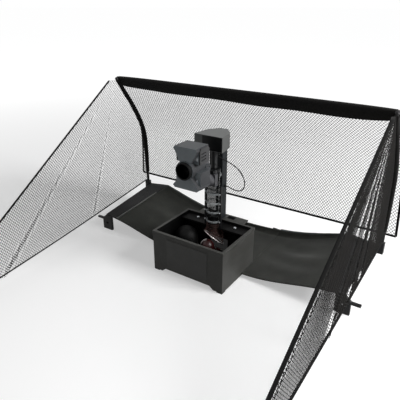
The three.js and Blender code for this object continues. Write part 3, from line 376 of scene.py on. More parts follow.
# Second half of a finish with a grain: tone runs through a ramp from the dark to the light of tones between
# two stops, height is raised in the light, and where there is a cloud it moves the gloss between two
# values.
def grainedSurface(tree, tones, tone, stops, height, relief, settings, cloud=None, gloss=None):
    ramp = addNode(tree, "ValToRGB", {}, {"Fac": tone.outputs[0]}, list(zip(stops, map(linearColour, tones))))
    raised = addNode(tree, "Bump", {"Strength": relief[0], "Distance": relief[1] * mm},
                     {"Height": height.outputs[0]})
    links = {"Base Color": ramp.outputs[0], "Normal": raised.outputs[0]}
    if cloud:
        links["Roughness"] = addNode(tree, "MapRange", {
            "From Min": 0.3, "From Max": 0.7, "To Min": gloss[0], "To Max": gloss[1]},
            {"Value": cloud.outputs[0]}).outputs[0]
    shader = addNode(tree, "BsdfPrincipled", settings, links)
    addNode(tree, "OutputMaterial", {}, {"Surface": shader.outputs[0]})


# Moulded plastic: fine grain in the light, and faint cloudy patches in colour and gloss.
def plasticFinish(name, grain, dark, light, rough, relief=0.25, coat=0.0, shine=0.3):
    finish, tree, coord = newFinish(name)
    fine = addNode(tree, "TexNoise", {"Scale": scaledBy(grain), "Detail": 4.0}, {"Vector": coord["Object"]})
    cloud = addNode(tree, "TexNoise", {"Scale": scaledBy(70), "Detail": 5.0, "Roughness": 0.6},
                    {"Vector": coord["Object"]})
    grainedSurface(tree, (dark, light), cloud, (0.32, 0.68), fine, (relief, 0.3), {
        "Coat Weight": coat, "Coat Roughness": 0.15, "IOR": 1.47, "Specular IOR Level": shine},
        cloud, (rough - 0.06, rough + 0.06))
    return finish


# Drawn or anodised metal: fine lines along one axis that streak the highlight, and cloudy patches in
# the gloss.
def brushedFinish(name, lines, dark, light, rough, metal, shine=0.35):
    finish, tree, coord = newFinish(name)
    along = addNode(tree, "Mapping", {"Scale": lines}, {"Vector": coord["Object"]})
    streak = addNode(tree, "TexNoise", {"Scale": 1.0, "Detail": 4.0, "Roughness": 0.65},
                     {"Vector": along.outputs[0]})
    cloud = addNode(tree, "TexNoise", {"Scale": scaledBy(60), "Detail": 3.0}, {"Vector": coord["Object"]})
    grainedSurface(tree, (dark, light), streak, (0.3, 0.7), streak, (0.15, 0.2), {
        "Metallic": metal, "Specular IOR Level": shine}, cloud, (rough - 0.07, rough + 0.07))
    return finish


# Woven cloth: warp and weft threads cross as small bumps, the colour drifts in worn patches, edges
# have a soft sheen.
def wovenFinish(name, thread, dark, light, rough, sheen=0.25):
    finish, tree, coord = newFinish(name)
    warp, weft = (addNode(tree, "TexWave", {
        "bands_direction": way, "Scale": 0.314 / (thread * mm), "Distortion": 0.6, "Detail": 2.0},
        {"Vector": coord["UV"]}) for way in "XY")
    cross = addNode(tree, "Math", {"operation": "MAXIMUM"}, {0: warp.outputs[1], 1: weft.outputs[1]})
    cloud = addNode(tree, "TexNoise", {"Scale": scaledBy(90), "Detail": 6.0, "Roughness": 0.62},
                    {"Vector": coord["Object"]})
    fleck = addNode(tree, "Math", {"operation": "MULTIPLY_ADD", 1: 0.12},
                    {0: cross.outputs[0], 2: cloud.outputs[0]})
    grainedSurface(tree, (dark, light), fleck, (0.36, 0.78), cross, (0.35, 0.4), {
        "Roughness": rough, "Sheen Weight": sheen, "Sheen Roughness": 0.5, "Specular IOR Level": 0.2})
    return finish


# Clear plastic wall: nearly unseen face on and a pale film edge on, so that a tube shows two bright
# sides. How much it covers grows with the facing share between two values, and haze dulls its gloss
# in patches.
def clearFinish(name, colour, haze, rough, bend, faceOn, edgeOn):
    finish, tree, coord = newFinish(name)
    patches = addNode(tree, "TexNoise", {"Scale": scaledBy(haze), "Detail": 3.0}, {"Vector": coord["Object"]})
    gloss = addNode(tree, "MapRange", {
        "From Min": 0.35, "From Max": 0.75, "To Min": rough, "To Max": rough + 0.15},
        {"Value": patches.outputs[0]})
    facing = addNode(tree, "LayerWeight", {"Blend": 0.5})
    cover = addNode(tree, "MapRange", {"From Min": bend, "From Max": 1.0, "To Min": faceOn, "To Max": edgeOn},
                    {"Value": facing.outputs["Facing"]})
    shader = addNode(tree, "BsdfPrincipled", {"Base Color": linearColour(colour), "IOR": 1.49},
                     {"Roughness": gloss.outputs[0], "Alpha": cover.outputs[0]})
    addNode(tree, "OutputMaterial", {}, {"Surface": shader.outputs[0]})
    return finish


# The name says what each real material is and how it was made, and where light or shade is painted into it, and
# the line above it what that gives the eye. Grain and clouds are sizes in millimetres.
finishes = {
    # Injection moulded ABS with an eroded mould face: dull, its fine leather grain breaks up the light.
    "hopperPlastic": plasticFinish(
        "charcoalGrainedAbs", grain=1.1, dark="#3f3f3c", light="#4b4b49", rough=0.55, relief=0.35, shine=0.25),
    # Vacuum formed sheet: smoother than the hopper, so that it shines a little more at a slant.
    "panelPlastic": plasticFinish(
        "charcoalSatinAbsSheet", grain=0.7, dark="#41413f", light="#4c4c4a", rough=0.45, relief=0.2, shine=0.25),
    # Black moulded polypropylene of the parts inside the hopper: swallows light, and only its edges catch any.
    # The same black also serves as painted shade: on the hopper's inside walls, in the nozzle, in the vent slots,
    # under the deck's hand slot and on the deck before the ball gate.
    "blackPlasticAndPaintedShade": plasticFinish(
        "blackPolypropyleneAndPaintedShade", grain=1.2, dark="#040404", light="#0b0b0b", rough=0.55, shine=0.12),
    # Soft moulded rubber: quite dull, with talc marks in its clouds.
    "footRubber": plasticFinish(
        "blackMouldedRubber", grain=0.8, dark="#0d0d0e", light="#191919", rough=0.85, relief=0.4),
    # Polished dark red polycarbonate: nearly black in the shade, with one soft highlight.
    "redPlastic": plasticFinish(
        "darkRedPolycarbonate", grain=3.0, dark="#190202", light="#2d0506", rough=0.34, relief=0.05, coat=0.05),
    # Nickel plated spring wire, painted near white with little metal: a painted glint, a thin pale line with a
    # bright side.
    "wirePaintedGlint": brushedFinish(
        "nickelWirePaintedGlint", lines=(200.0, 200.0, 200.0), dark="#d6d0cd", light="#f3efec", rough=0.3, metal=0.1),
    # Black acetal, turned and moulded: satin, a little bluer than the rubber.
    "blackPlastic": plasticFinish(
        "blackSatinAcetal", grain=0.9, dark="#08090a", light="#131415", rough=0.42, shine=0.25),
    # Smoked acrylic window: near black with broad, weak reflections.
    "windowPlastic": plasticFinish(
        "smokedAcrylicWindow", grain=4.0, dark="#040505", light="#090a0a", rough=0.4, relief=0.08, shine=0.2),
    # Powder coated sheet steel: fine orange peel, satin, paler on top where the lamp falls, and its upright sides
    # carry a painted shade.
    "boxPaint": plasticFinish(
        "greyPowderCoatedSteel", grain=1.6, dark="#595b5a", light="#676968", rough=0.45, relief=0.18, coat=0.1),
    # The same coat on the upright sides, painted darker and duller: a painted shade on the faces turned sideways.
    "boxSidePaintedShade": plasticFinish(
        "greyPowderCoatPaintedShade", grain=1.6, dark="#464746", light="#525352", rough=0.5, relief=0.2, shine=0.2),
    # Glass fibre board with solder mask: green, slightly glossy.
    "boardGreen": plasticFinish(
        "greenSolderMask", grain=2.5, dark="#174a30", light="#22683f", rough=0.45, coat=0.4),
    # Nylon servo case: dark and even.
    "servoPlastic": plasticFinish(
        "blackNylonCase", grain=0.8, dark="#17181a", light="#26272a", rough=0.5),
    # Moulded grey ABS with a soft sheen on its round bend.
    "elbowPlastic": plasticFinish(
        "greySatinAbs", grain=1.2, dark="#3c3c3f", light="#4b4b4e", rough=0.4),
    # Slate ABS of the head: satin mould face, so its slanting facets pick up pale light.
    "headPlastic": plasticFinish(
        "slateSatinAbs", grain=1.0, dark="#36393b", light="#434649", rough=0.4, shine=0.4),
    # The same slate ABS on the head's sides, with a coarser grain: painted darker and duller, a painted shade on
    # the faces turned sideways.
    "headSidePaintedShade": plasticFinish(
        "slateAbsPaintedShade", grain=1.3, dark="#303133", light="#3b3c3e", rough=0.55, relief=0.35, shine=0.2),
    # Front facets of the head: the same slate ABS painted paler and bluer, a painted reflection of the pale light
    # they face, with a finer grain.
    "headFacetPaintedReflection": plasticFinish(
        "slateAbsPaintedReflection", grain=0.9, dark="#868e93", light="#979fa4", rough=0.36, relief=0.15, shine=0.5),
    # The vent panels' plastic: a shade browner and duller than the head's.
    "ventPlastic": plasticFinish(
        "slateVentAbs", grain=1.0, dark="#323233", light="#3d3d3e", rough=0.5, shine=0.2),
    # Foam rubber of the throwing wheels: coarse grain, no shine.
    "tyreRubber": plasticFinish(
        "darkFoamRubber", grain=0.8, dark="#1b1d20", light="#2b2e32", rough=0.85, relief=0.5),
    # Glass filled nylon of clips and rails: dull black with pale flow marks.
    "framePlastic": plasticFinish(
        "blackGlassFilledNylon", grain=1.1, dark="#101011", light="#1c1c1d", rough=0.5, shine=0.25),
    # Powder coated steel tube of the net frame: black satin.
    "poleCoating": plasticFinish(
        "blackPowderCoatedTube", grain=1.4, dark="#0b0b0c", light="#161617", rough=0.45, shine=0.25),
    # Drawn aluminium, anodised slate: fine lines up its length that streak the light.
    "postMetal": brushedFinish(
        "slateAnodisedAluminium", lines=(900.0, 900.0, 18.0), dark="#1b1e20", light="#272a2c", rough=0.55,
        metal=0.05, shine=0.15),
    # Plated steel of screws and motor cans: bright, with short drawn lines.
    "steel": brushedFinish(
        "zincPlatedSteel", lines=(300.0, 300.0, 40.0), dark="#a3a6aa", light="#d0d3d6", rough=0.28, metal=0.95),
    # Lathe turned aluminium: grooves round the hub give it a fan of light.
    "hubMetal": brushedFinish(
        "turnedAluminium", lines=(60.0, 900.0, 900.0), dark="#8c9197", light="#b4b9be", rough=0.3, metal=0.9),
    # Drawn rod, anodised grey: satin, a little paler than the cloth it lies in.
    "rodMetal": brushedFinish(
        "greyAnodisedRod", lines=(30.0, 30.0, 700.0), dark="#4a4b48", light="#60625e", rough=0.4, metal=0.2),
    # Plain woven polyester with a coated face: dull grey green with a faint weave and worn patches.
    # Its real thread is 0.3 mm, too fine to show, so it is drawn at 1.6 mm.
    "trayCloth": wovenFinish(
        "greyCoatedPolyesterCanvas", thread=1.6, dark="#2a2b28", light="#3a3b37", rough=0.75, sheen=0.1),
    # The same canvas, less worn, on the lip: a shade paler and bluer.
    "lipCloth": wovenFinish(
        "greySleeveCanvas", thread=1.6, dark="#3c4040", light="#505555", rough=0.7),
    # Black canvas of the end flaps.
    "flapCloth": wovenFinish(
        "blackFlapCanvas", thread=1.6, dark="#141415", light="#212122", rough=0.78, sheen=0.12),
    # Woven nylon binding tape: black and quite dull.
    "bandCloth": wovenFinish(
        "blackNylonTape", thread=1.8, dark="#070707", light="#12110f", rough=0.9, sheen=0.04),
    # Twisted nylon twine: black, with a little shine on each turn.
    "netTwine": wovenFinish(
        "blackNylonTwine", thread=0.8, dark="#080706", light="#161412", rough=0.85, sheen=0.03),
    # Spun polyester sewing thread.
    "stitchThread": wovenFinish(
        "greyPolyesterThread", thread=0.6, dark="#333432", light="#4d4f4c", rough=0.8),
    # Extruded acrylic tube, smoked: dim to look through, with a bright streak down each side.
    "clearPlastic": clearFinish(
        "smokedAcrylicTube", colour="#17191a", haze=30, rough=0.08, bend=0.55, faceOn=0.42, edgeOn=0.95),
    # Clear hood blown from acrylic: its rosy tint is a painted reflection of the red wheel below.
    "hoodPaintedRedReflection": clearFinish(
        "blownAcrylicPaintedRedReflection", colour="#c39b94", haze=18, rough=0.06, bend=0.4, faceOn=0.03, edgeOn=0.42),
    # Sanded acrylic rings and clamp: milky, with bright edges.
    "paleRing": clearFinish(
        "sandedAcrylicRing", colour="#b9bec0", haze=8, rough=0.2, bend=0.1, faceOn=0.25, edgeOn=0.85),
    # Cut and polished rim of the hood, painted near white: a painted highlight along its edge.
    "rimPaintedHighlight": plasticFinish(
        "acrylicRimPaintedHighlight", grain=2.0, dark="#f4e9e7", light="#fffaf8", rough=0.14, relief=0.03,
        coat=0.6, shine=0.8),
}
print("materials made")

cableRun = {
    "radius": 2.0, "sides": 12, "perSpan": 10, "across": (0.577, 0.577, 0.577),
    "route": [(-2, 98.4, 463), (-2, 92, 463), (4, 86, 461), (16, 84, 457.5), (32, 88, 451), (52, 94, 442),
              (74, 99, 430), (95, 104, 412), (109, 108, 389), (115, 112, 364), (110, 116, 341), (96, 119, 325),
              (78, 122, 319), (58, 124.5, 319), (40, 126.5, 322.5), (31, 127, 325), (24.6, 127, 325)],
}
cableLine = threadCurve(spot(*np.array(cableRun["route"], float).T), cableRun["perSpan"])
cable = tubePiece("head_cable_jacket", cableLine, cableRun["radius"], cableRun["sides"], cableRun["across"],
                  "footRubber")
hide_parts("head_cable")
print("cable laid,", round(lengthOf(cableLine) / mm), "mm")


# Rigid pieces: copies of the CAD solids, each with the radius in millimetres of its rounded edges.

hardPieces = {
    "hopperPlastic": {"hopper_shell": 1.2, "rear_deck": 1.0},
    "panelPlastic": {"front_panel": 0.5},
    "blackPlasticAndPaintedShade": {"hopper_floor": 1.0, "tube_bracket": 1.2, "feed_motor": 0, "nozzle_ring": 1.0},
    "footRubber": {"foot_front_left": 0.8, "foot_front_right": 0.8, "foot_rear_left": 0.8,
                   "foot_rear_right": 0.8, "cable_gland_upper": 0.4, "cable_gland_lower": 0.4,
                   "power_socket": 0.4},
    "steel": {"bracket_screw_left": 0.8, "bracket_screw_right": 0.8, "upper_motor": 0.8, "lower_motor": 0.8},
    "redPlastic": {"feed_wheel": 2.0},
    "clearPlastic": {"feed_tube": 0.4},
    "hoodPaintedRedReflection": {"feed_hood": 0.5},
    "paleRing": {"tube_ring_low": 1.2, "tube_ring_mid": 1.2, "tube_ring_high": 1.2, "tube_clamp": 1.0},
    "blackPlastic": {"tube_rail_left": 0.8, "tube_rail_right": 0.8, "power_switch": 0.8, "elbow_cap": 1.5},
    "windowPlastic": {"top_box_window": 0.3},
    "postMetal": {"post": 2.5},
    "boxPaint": {"top_box": 1.2},
    "boardGreen": {"control_board": 0.2},
    "servoPlastic": {"pan_servo": 1.0},
    "elbowPlastic": {"feed_elbow": 0.8},
    "headPlastic": {"head_upper_shell": 1.6, "head_lower_shell": 1.6},
    "ventPlastic": {"left_vent_panel": 0.9, "right_vent_panel": 0.9},
    "tyreRubber": {"upper_wheel_tyre": 1.0, "lower_wheel_tyre": 1.0},
    "hubMetal": {"upper_wheel_hub": 0.6, "lower_wheel_hub": 0.6},
    "framePlastic": {"left_clip": 1.5, "right_clip": 1.5, "left_back_rail": 0.8, "right_back_rail": 0.8},
}
for finish, nodes in hardPieces.items():
    for node, edge in nodes.items():
        softened(node, finish, edge)


# Second finish for the faces of a mesh that chosen() picks by their middles, in millimetres from the
# hopper's middle, and their normals.
def paintFaces(mesh, finish, chosen):
    count = len(mesh.polygons)
    middle, normal, slot = np.zeros(count * 3), np.zeros(count * 3), np.zeros(count, np.int32)
    mesh.polygons.foreach_get("center", middle)
    mesh.polygons.foreach_get("normal", normal)
    mesh.polygons.foreach_get("material_index", slot)
    slot[chosen((middle.reshape(-1, 3) - (0, hopperY, 0)) / mm, normal.reshape(-1, 3))] = len(mesh.materials)
    mesh.materials.append(finishes[finish])
    mesh.polygons.foreach_set("material_index", slot)


# Painted light by faces: the inside walls of the hopper are painted black as painted shade deep in the box, the
# sides of head and top box are painted darker as painted shade, and the head's front facets paler as a painted
# reflection. A face counts as turned to a side when its normal leans there by more than facing.
painted = {"wide": 158.3, "deep": 118.3, "top": 177.5, "facing": 0.7}
paintFaces(bpy.data.objects["hopper_shell_finished"].data, "blackPlasticAndPaintedShade", lambda middle, normal: (
    (np.abs(middle[:, 0]) < painted["wide"]) & (np.abs(middle[:, 1]) < painted["deep"])
    & (middle[:, 2] < painted["top"])))
for node, finish in {"head_upper_shell": "headSidePaintedShade", "head_lower_shell": "headSidePaintedShade",
                     "top_box": "boxSidePaintedShade"}.items():
    skin = bpy.data.objects[node + "_finished"].data
    paintFaces(skin, finish, lambda middle, normal: np.abs(normal[:, 0]) > painted["facing"])
    if finish == "headSidePaintedShade":
        paintFaces(skin, "headFacetPaintedReflection", lambda middle, normal: normal[:, 1] < -painted["facing"])
print("rigid pieces finished")


# Small parts round the tube. Its axis stands tubeAxis behind the hopper's middle. A solid turned piece
# begins and ends at capRadius, where a tiny cap closes it.

tubeAxis = 70.0
capRadius = 0.02
hands = {"left": -1, "right": 1}

# Ribbed bellows on the pan shaft: the radius is core + rib |sin(pi h / pitch)| to the power 0.7 and,
# above collarLow, the collar's.
bellows = {"low": 416.4, "high": 500.0, "core": 11.4, "rib": 1.6, "pitch": 5.2, "collarLow": 476.0,
           "collar": 12.3, "rings": 150, "sides": 36}
height = np.linspace(bellows["low"], bellows["high"], bellows["rings"])
wave = np.abs(np.sin(pi * (height - bellows["low"]) / bellows["pitch"])) ** 0.7
radius = np.where(height > bellows["collarLow"], bellows["collar"], bellows["core"] + bellows["rib"] * wave)
shaft = lathePiece("pan_shaft_bellows", np.stack([radius, height], -1), bellows["sides"],
                   spot(0, tubeAxis, 0), "blackPlastic", "pan_unit")
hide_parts("pan_shaft")

# Stop rod of the pan drive: it stands on the cap beside the bellows and ends just under the top box.
stop = {"x": -17.5, "y": 71.5, "sides": 24,
        "section": [(capRadius, 416.2), (4.0, 416.2), (4.0, 496.4), (3.2, 497.2), (capRadius, 497.2)]}
lathePiece("pan_stop_rod", stop["section"], stop["sides"], spot(stop["x"], stop["y"], 0), "blackPlastic",
           "pan_unit")
print("bellows made")

# Black sleeve inside the nozzle, a painted shade in the bore: its closed section, in radius and y, turned about
# the nozzle's axis.
nozzle = {"level": 464.0, "sides": 48,
          "section": [(26.6, -137.0), (26.6, -127.0), (21.3, -126.0), (21.3, -112.0), (20.5, -112.0),
                      (20.5, -127.5), (25.8, -137.0), (26.6, -137.0)]}
lathePiece("nozzle_painted_shade", nozzle["section"], nozzle["sides"], spot(0, 0, nozzle["level"]), "blackPlasticAndPaintedShade",
           "head", lying=True)


# Black prism of painted shade, with its outline in millimetres in y and z, carried along x from low to high.
def paintedShadePrism(name, outline, low, high, body="base"):
    outline = np.asarray(outline, float)
    count = len(outline)
    points = np.concatenate([spot(x, outline[:, 0], outline[:, 1]) for x in (low, high)])
    i = np.arange(count)
    k = (i + 1) % count
    walls = np.stack([i, k, k + count, i + count], -1)
    caps = [i[None, ::-1], (i + count)[None]]
    return meshPiece(name, points, [walls] + caps, "blackPlasticAndPaintedShade", body, smooth=False)


# Black floors of the slanted vent slots, just above the head's side: painted shade in the slots.
vent = {"front": -94.7, "back": -67.3, "rise": 0.75, "low": 0.3, "high": 3.7, "near": 46.5, "far": 47.3,
        "levels": {"a": 500.5, "b": 512.0, "c": 523.5}}
for hand, side in hands.items():
    for letter, level in vent["levels"].items():
        low, high = level + vent["low"], level + vent["high"]
        paintedShadePrism(hand + "_vent_painted_shade_" + letter, [
            (vent["front"], low - vent["rise"]), (vent["back"], low + vent["rise"]),
            (vent["back"], high + vent["rise"]), (vent["front"], high - vent["rise"])],
            *sorted((side * vent["near"], side * vent["far"])), "head")

# Black plate under the hand slot of the rear deck: painted shade in the slot.
slot = {"left": 18.5, "right": 60.0,
        "outline": [(133.0, 168.0), (159.5, 168.0), (159.5, 171.6), (133.0, 171.6)]}
paintedShadePrism("slot_painted_shade", slot["outline"], slot["left"], slot["right"])

# Rim round the slanting mouth of the hood: the cone's radius R(z) and the slanting plane meet where
# z = lift + rise (half - R cos(a - turn)) / (2 half), found by repeating that step from start on.
hood = {"mouth": 44.0, "lift": 71.0, "skirtTop": 130.0, "neck": 28.8, "neckStart": 155.0, "rise": 82.0,
        "half": 48.0, "turn": 58.0, "rim": 2.1, "wall": 2.6, "start": 90.0, "repeats": 30, "points": 120,
        "sides": 8}
angle = np.linspace(0, 2 * pi, hood["points"], endpoint=False)
level = np.full(angle.shape, hood["start"])
for step in range(hood["repeats"]):
    narrowed = np.clip((level - hood["skirtTop"]) / (hood["neckStart"] - hood["skirtTop"]), 0, 1)
    radius = blendOf(hood["mouth"], hood["neck"], narrowed)
    offset = radius * np.cos(angle - math.radians(hood["turn"]))
    level = hood["lift"] + hood["rise"] * (hood["half"] - offset) / (2 * hood["half"])
radius = radius - hood["wall"] / 2
rimLine = spot(radius * np.cos(angle), tubeAxis + radius * np.sin(angle), level - hood["rim"])
# The rim is painted near white, a painted highlight line.
tubePiece("hood_rim", rimLine, hood["rim"], hood["sides"], (0, 0, 1), "rimPaintedHighlight")

# Two spring wires that run side by side down the feed wheel's dome and out over its rim. Their line is
# given as (distance from the dome's middle, height).
wires = {"centre": (7.0, 15.0), "turn": 205.3, "apart": 9.0, "radius": 1.0, "sides": 8, "perSpan": 6,
         "line": [(4.0, 125.0), (15.0, 120.9), (26.4, 107.9), (31.2, 90.0), (31.8, 72.5), (38.0, 69.4),
                  (56.0, 69.3)]}
outward, height = threadCurve(wires["line"], wires["perSpan"]).T
turn = math.radians(wires["turn"])
for name, side in {"first": -1, "second": 1}.items():
    aside = side * wires["apart"] / 2
    line = spot(wires["centre"][0] + outward * math.cos(turn) - aside * math.sin(turn),
                wires["centre"][1] + outward * math.sin(turn) + aside * math.cos(turn), height)
    tubePiece(name + "_wheel_wire", line, wires["radius"], wires["sides"],
              (-math.sin(turn), math.cos(turn), 0.001), "wirePaintedGlint", "feed_wheel")

# Fourth ring of the tube.
ring = {"level": 313.0, "sides": 48,
        "section": [(24.9, -3.0), (29.9, -3.0), (30.7, -2.2), (30.7, 2.2), (29.9, 3.0), (24.9, 3.0),
                    (24.9, -3.0)]}
lathePiece("tube_ring_upper", ring["section"], ring["sides"], spot(0, tubeAxis, ring["level"]), "paleRing")

# Bright screws that hold each ring to the two rails. The section is in shares of radius and height.
screws = {"x": 34.6, "front": 61.6, "radius": 3.3, "height": 3.4, "sides": 20,
          "section": [(0, 0), (1, 0), (1, 0.6), (0.7, 1), (0.35, 1), (0.3, 0.5), (0, 0.5)],
          "levels": {"a": 191.0, "b": 232.0, "c": 272.0, "d": 313.0}}
section = np.array(screws["section"]) * (screws["radius"], -screws["height"])
section[[0, -1], 0] = capRadius
for hand, side in hands.items():
    for letter, level in screws["levels"].items():
        lathePiece(hand + "_ring_screw_" + letter, section, screws["sides"],
                   spot(side * screws["x"], screws["front"], level), "steel", lying=True)
print("small parts made")


# Net frame: two leaning poles and the bar between their tops. Their line is given as (y, height), and
# the cloth follows it without the upright part at its foot.

poles = {
    "x": 605.0, "radius": 7.0, "sides": 20, "clearFoot": 0.4,
    "line": [(373.0, 100.0), (373.0, 153.0), (358.0, 400.0), (310.0, 510.0), (189.0, 690.0)],
}
poleLine = threadCurve(poles["line"], 24)
depthLine = threadCurve(poles["line"][:1] + poles["line"][2:], 40)


# Distance behind the hopper's middle of the leaning poles at a height, read from their curve.
def poleDepth(level):
    return np.interp(level, depthLine[:, 1], depthLine[:, 0])


for hand, side in hands.items():
    path = spot(side * poles["x"], poleLine[:, 0], poleLine[:, 1])
    path[0, 2] += poles["clearFoot"] * mm
    pole = tubePiece(hand + "_pole_tube", path, poles["radius"], poles["sides"], (1, 0, 0), "poleCoating")
    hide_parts(hand + "_pole")

topBar = {"radius": 6.0, "level": 689.0, "half": 613.0, "behind": 16.0, "sides": 20}
barY = float(poleDepth(topBar["level"])) + topBar["behind"]
barLine = spot(np.linspace(-topBar["half"], topBar["half"], 60), barY, topBar["level"])
bar = tubePiece("top_bar_tube", barLine, topBar["radius"], topBar["sides"], (0, 1, 0), "poleCoating")
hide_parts("top_bar")

# Band: cloth folded over the bar. Its section, in y and shares of the drop, runs up the front, over the
# bar and down the back. Below hangFrom it waves a little, more the lower it hangs, and towards its ends
# it draws up to the share endDrop.
topBand = {"half": 603.0, "thickness": 1.1, "drop": 40.0, "endDrop": 0.72, "hangFrom": -4, "sway": 1.6,
           "lift": 2.0, "section": [
               (-3.6, -1.0), (-4.2, -0.7), (-5.6, -0.35), (-8.6, -0.12), (-8.4, 0.08), (-5.2, 0.2), (0.0, 0.24),
               (5.2, 0.2), (8.4, 0.08), (8.6, -0.12), (5.6, -0.35), (4.2, -0.7), (3.6, -1.0)]}
across, fall = evenAlong(threadCurve(np.array(topBand["section"]) * (1, topBand["drop"]), 8), 44).T
x = np.linspace(-topBand["half"], topBand["half"], 150)[:, None]
sag = (fall < topBand["hangFrom"]) * np.clip(-fall / topBand["drop"], 0, 1)
drawn = topBand["endDrop"] + (1 - topBand["endDrop"]) * (1 - (x / topBand["half"]) ** 8)
y = barY + across + topBand["sway"] * wrinkle(x / 45, fall / 30, 4) * sag
z = topBar["level"] + fall * drawn + topBand["lift"] * wrinkle(x / 90, 0 * fall, 9) * sag
band = clothPiece("top_band", spot(x, y, z), topBand["thickness"], "bandCloth")

# Pole sleeves: cloth wrapped round each pole, wider across at mid height, open along the back seam.
# They cover the pole's share from start to end.
poleSleeves = {"start": 0.13, "end": 0.985, "wide": 13.0, "narrow": 8.6, "deep": 8.7, "thickness": 0.9,
               "seam": 0.12, "crease": 0.7, "creaseDeep": 0.4}
line = evenAlong(poleLine, 400)[int(400 * poleSleeves["start"]):int(400 * poleSleeves["end"]):3]
t = np.linspace(0, 1, len(line))[:, None]
run, rise = unit(np.gradient(line, axis=0)).T[..., None]
angle = np.linspace(-pi + poleSleeves["seam"], pi - poleSleeves["seam"], 34)
swell = np.sin(pi * np.clip(t * 1.05, 0, 1)) ** 0.8
for hand, side in hands.items():
    wide = (blendOf(poleSleeves["narrow"], poleSleeves["wide"], swell)
            + poleSleeves["crease"] * wrinkle(t * 26, np.cos(angle) * 2, 21 + side))
    deep = poleSleeves["deep"] + poleSleeves["creaseDeep"] * wrinkle(t * 30, np.sin(angle) * 2, 31 + side)
    points = spot(side * poles["x"] + wide * np.sin(angle), line[:, :1] - deep * np.cos(angle) * rise,
                  line[:, 1:] + deep * np.cos(angle) * run)
    sleeve = clothPiece(hand + "_pole_sleeve", points, poleSleeves["thickness"], "bandCloth")
print("net frame made")


nets = {"pitch": 9.0, "twine": 1.7, "slope": 52, "hem": 165.0, "hemHalf": 648.0, "top": 682.7, "belly": 7.0,
        "ripple": 2.2, "bare": 4.0, "steps": 26, "tapeSides": 12, "hemTape": (1.4, 5.0), "sideTape": (1.3, 5.0)}
levels = np.linspace(nets["top"], nets["hem"], 300)
netRun = np.concatenate([[0], np.cumsum(np.hypot(np.diff(levels), np.diff(poleDepth(levels))))]) * mm
netDrop = float(netRun[-1])


# Back net: across is metres from the middle at the top, down is metres along the bend below the bar.
# The width grows as the 0.6th power of the drop, and the middle bellies back a little.
def layBackNet(across, down):
    level = np.interp(down, netRun, levels)
    share = np.clip((nets["top"] - level) / (nets["top"] - nets["hem"]), 0, 1)
    half = blendOf(poles["x"], nets["hemHalf"], share ** 0.6)
    s = across / (poles["x"] * mm)
    slack = nets["belly"] * (1 - s ** 2) + nets["ripple"] * wrinkle(s * 9, share * 5, 5)
    return spot(s * half, poleDepth(level) + topBar["behind"] + slack * np.sin(pi * share), level)


# Flat tape along a line: an oval tube whose size is (half its thickness, half its width).
def edgeTape(name, points, size, facing):
    tubePiece(name, points, size[0], nets["tapeSides"], facing, "bandCloth", deep=size[1])


halfTop = poles["x"] * mm
starts, ends = clippedLines(lambda a, d: (np.abs(a) <= halfTop) & (d >= nets["bare"] * mm) & (d <= netDrop),
                            (-halfTop, 0), (halfTop, netDrop))
backNet = strandPiece("back_net_mesh", starts, ends, layBackNet, nets["steps"], nets["twine"], "netTwine")
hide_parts("back_net")
edgeTape("back_net_hem", layBackNet(np.linspace(-halfTop, halfTop, 90), netDrop), nets["hemTape"], (0, 0, 1))
for hand, side in hands.items():
    edgeTape(hand + "_back_net_edge", layBackNet(side * halfTop, np.linspace(0.01, netDrop, 60)),
             nets["sideTape"], (1, 0, 0))

# Side nets. They hang from a corner at the pole's top, and their foot reaches forward beside the table.
# Each pleat is (angle at the corner, spread, depth in millimetres).
sideNets = {
    "topLevel": 684.0, "topWide": 46.0, "poleTop": 690.0, "poleY": 363.0, "foot": (575.0, -880.0),
    "backLow": 134.0, "gap": 9.4, "fold": 0.42, "billow": 2.5, "floor": 0.8, "ahead": 4.0, "above": 16.0,
    "cutLow": (-0.88, 0.0), "cutHigh": (0.37, 0.684), "steps": 36, "frontTape": (1.6, 6.0),
    "lowerTape": (1.4, 4.5), "sag": 9.0,
    "left": [(0.42, 0.05, 3.0), (0.75, 0.045, 3.0), (1.22, 0.05, 3.0)],
    "right": [(1.02, 0.10, 4.0), (1.22, 0.10, 4.0), (1.42, 0.10, 4.0), (0.62, 0.05, 3.0)],
}
footX, footY = sideNets["foot"]
cornerY = float(poleDepth(sideNets["topLevel"])) - sideNets["ahead"]
cornerZ = sideNets["topLevel"] + sideNets["above"]
frontY = cornerY - sideNets["topWide"]
netReach = sideNets["poleY"] - footY


# y of a side net's edge beside the pole, at a height.
def poleEdge(z):
    return poleDepth(np.clip(z, sideNets["backLow"], sideNets["poleTop"])) - sideNets["gap"]


# True within the side net's cut: above its lower edge, behind its front edge, below its top, before
# the pole.
def insideSideNet(y, z):
    front = blendOf(frontY, footY, (sideNets["topLevel"] - z) / sideNets["topLevel"])
    low = sideNets["backLow"] * np.clip((y - footY) / netReach, 0, 1.2)
    return (y >= front) & (y <= poleEdge(z)) & (z >= low) & (z <= sideNets["topLevel"])


# Side net: a point of the flat cut (y, z) turns about the top corner by a folded angle, so that a
# pleat has three layers, and stands off the plane a little more the further it is from the corner.
def laySideNet(side, folds):
    def lay(y, z):
        dy, dz = cornerY - y / mm, cornerZ - z / mm
        r = np.hypot(dy, dz)
        turn = np.arctan2(dz, dy)
        lift = sideNets["billow"] * wrinkle(r / 160, turn * 7, 13 + side) * np.clip(r / 500, 0, 1)
        moved = turn
        for middle, spread, depth in folds:
            s = (turn - middle) / spread
            near = np.abs(s) < 0.5
            moved = moved - near * spread * sideNets["fold"] * np.sin(2 * pi * s)
            lift = lift + near * depth * np.cos(pi * s) * np.clip(r / 420, 0, 1)
        y, z = cornerY - r * np.cos(moved), cornerZ - r * np.sin(moved)
        x = blendOf(poles["x"], footX, np.clip((poleEdge(z) - y) / netReach, 0, 1))
        return spot(side * (x + lift), y, np.maximum(z, sideNets["floor"]))
    return lay


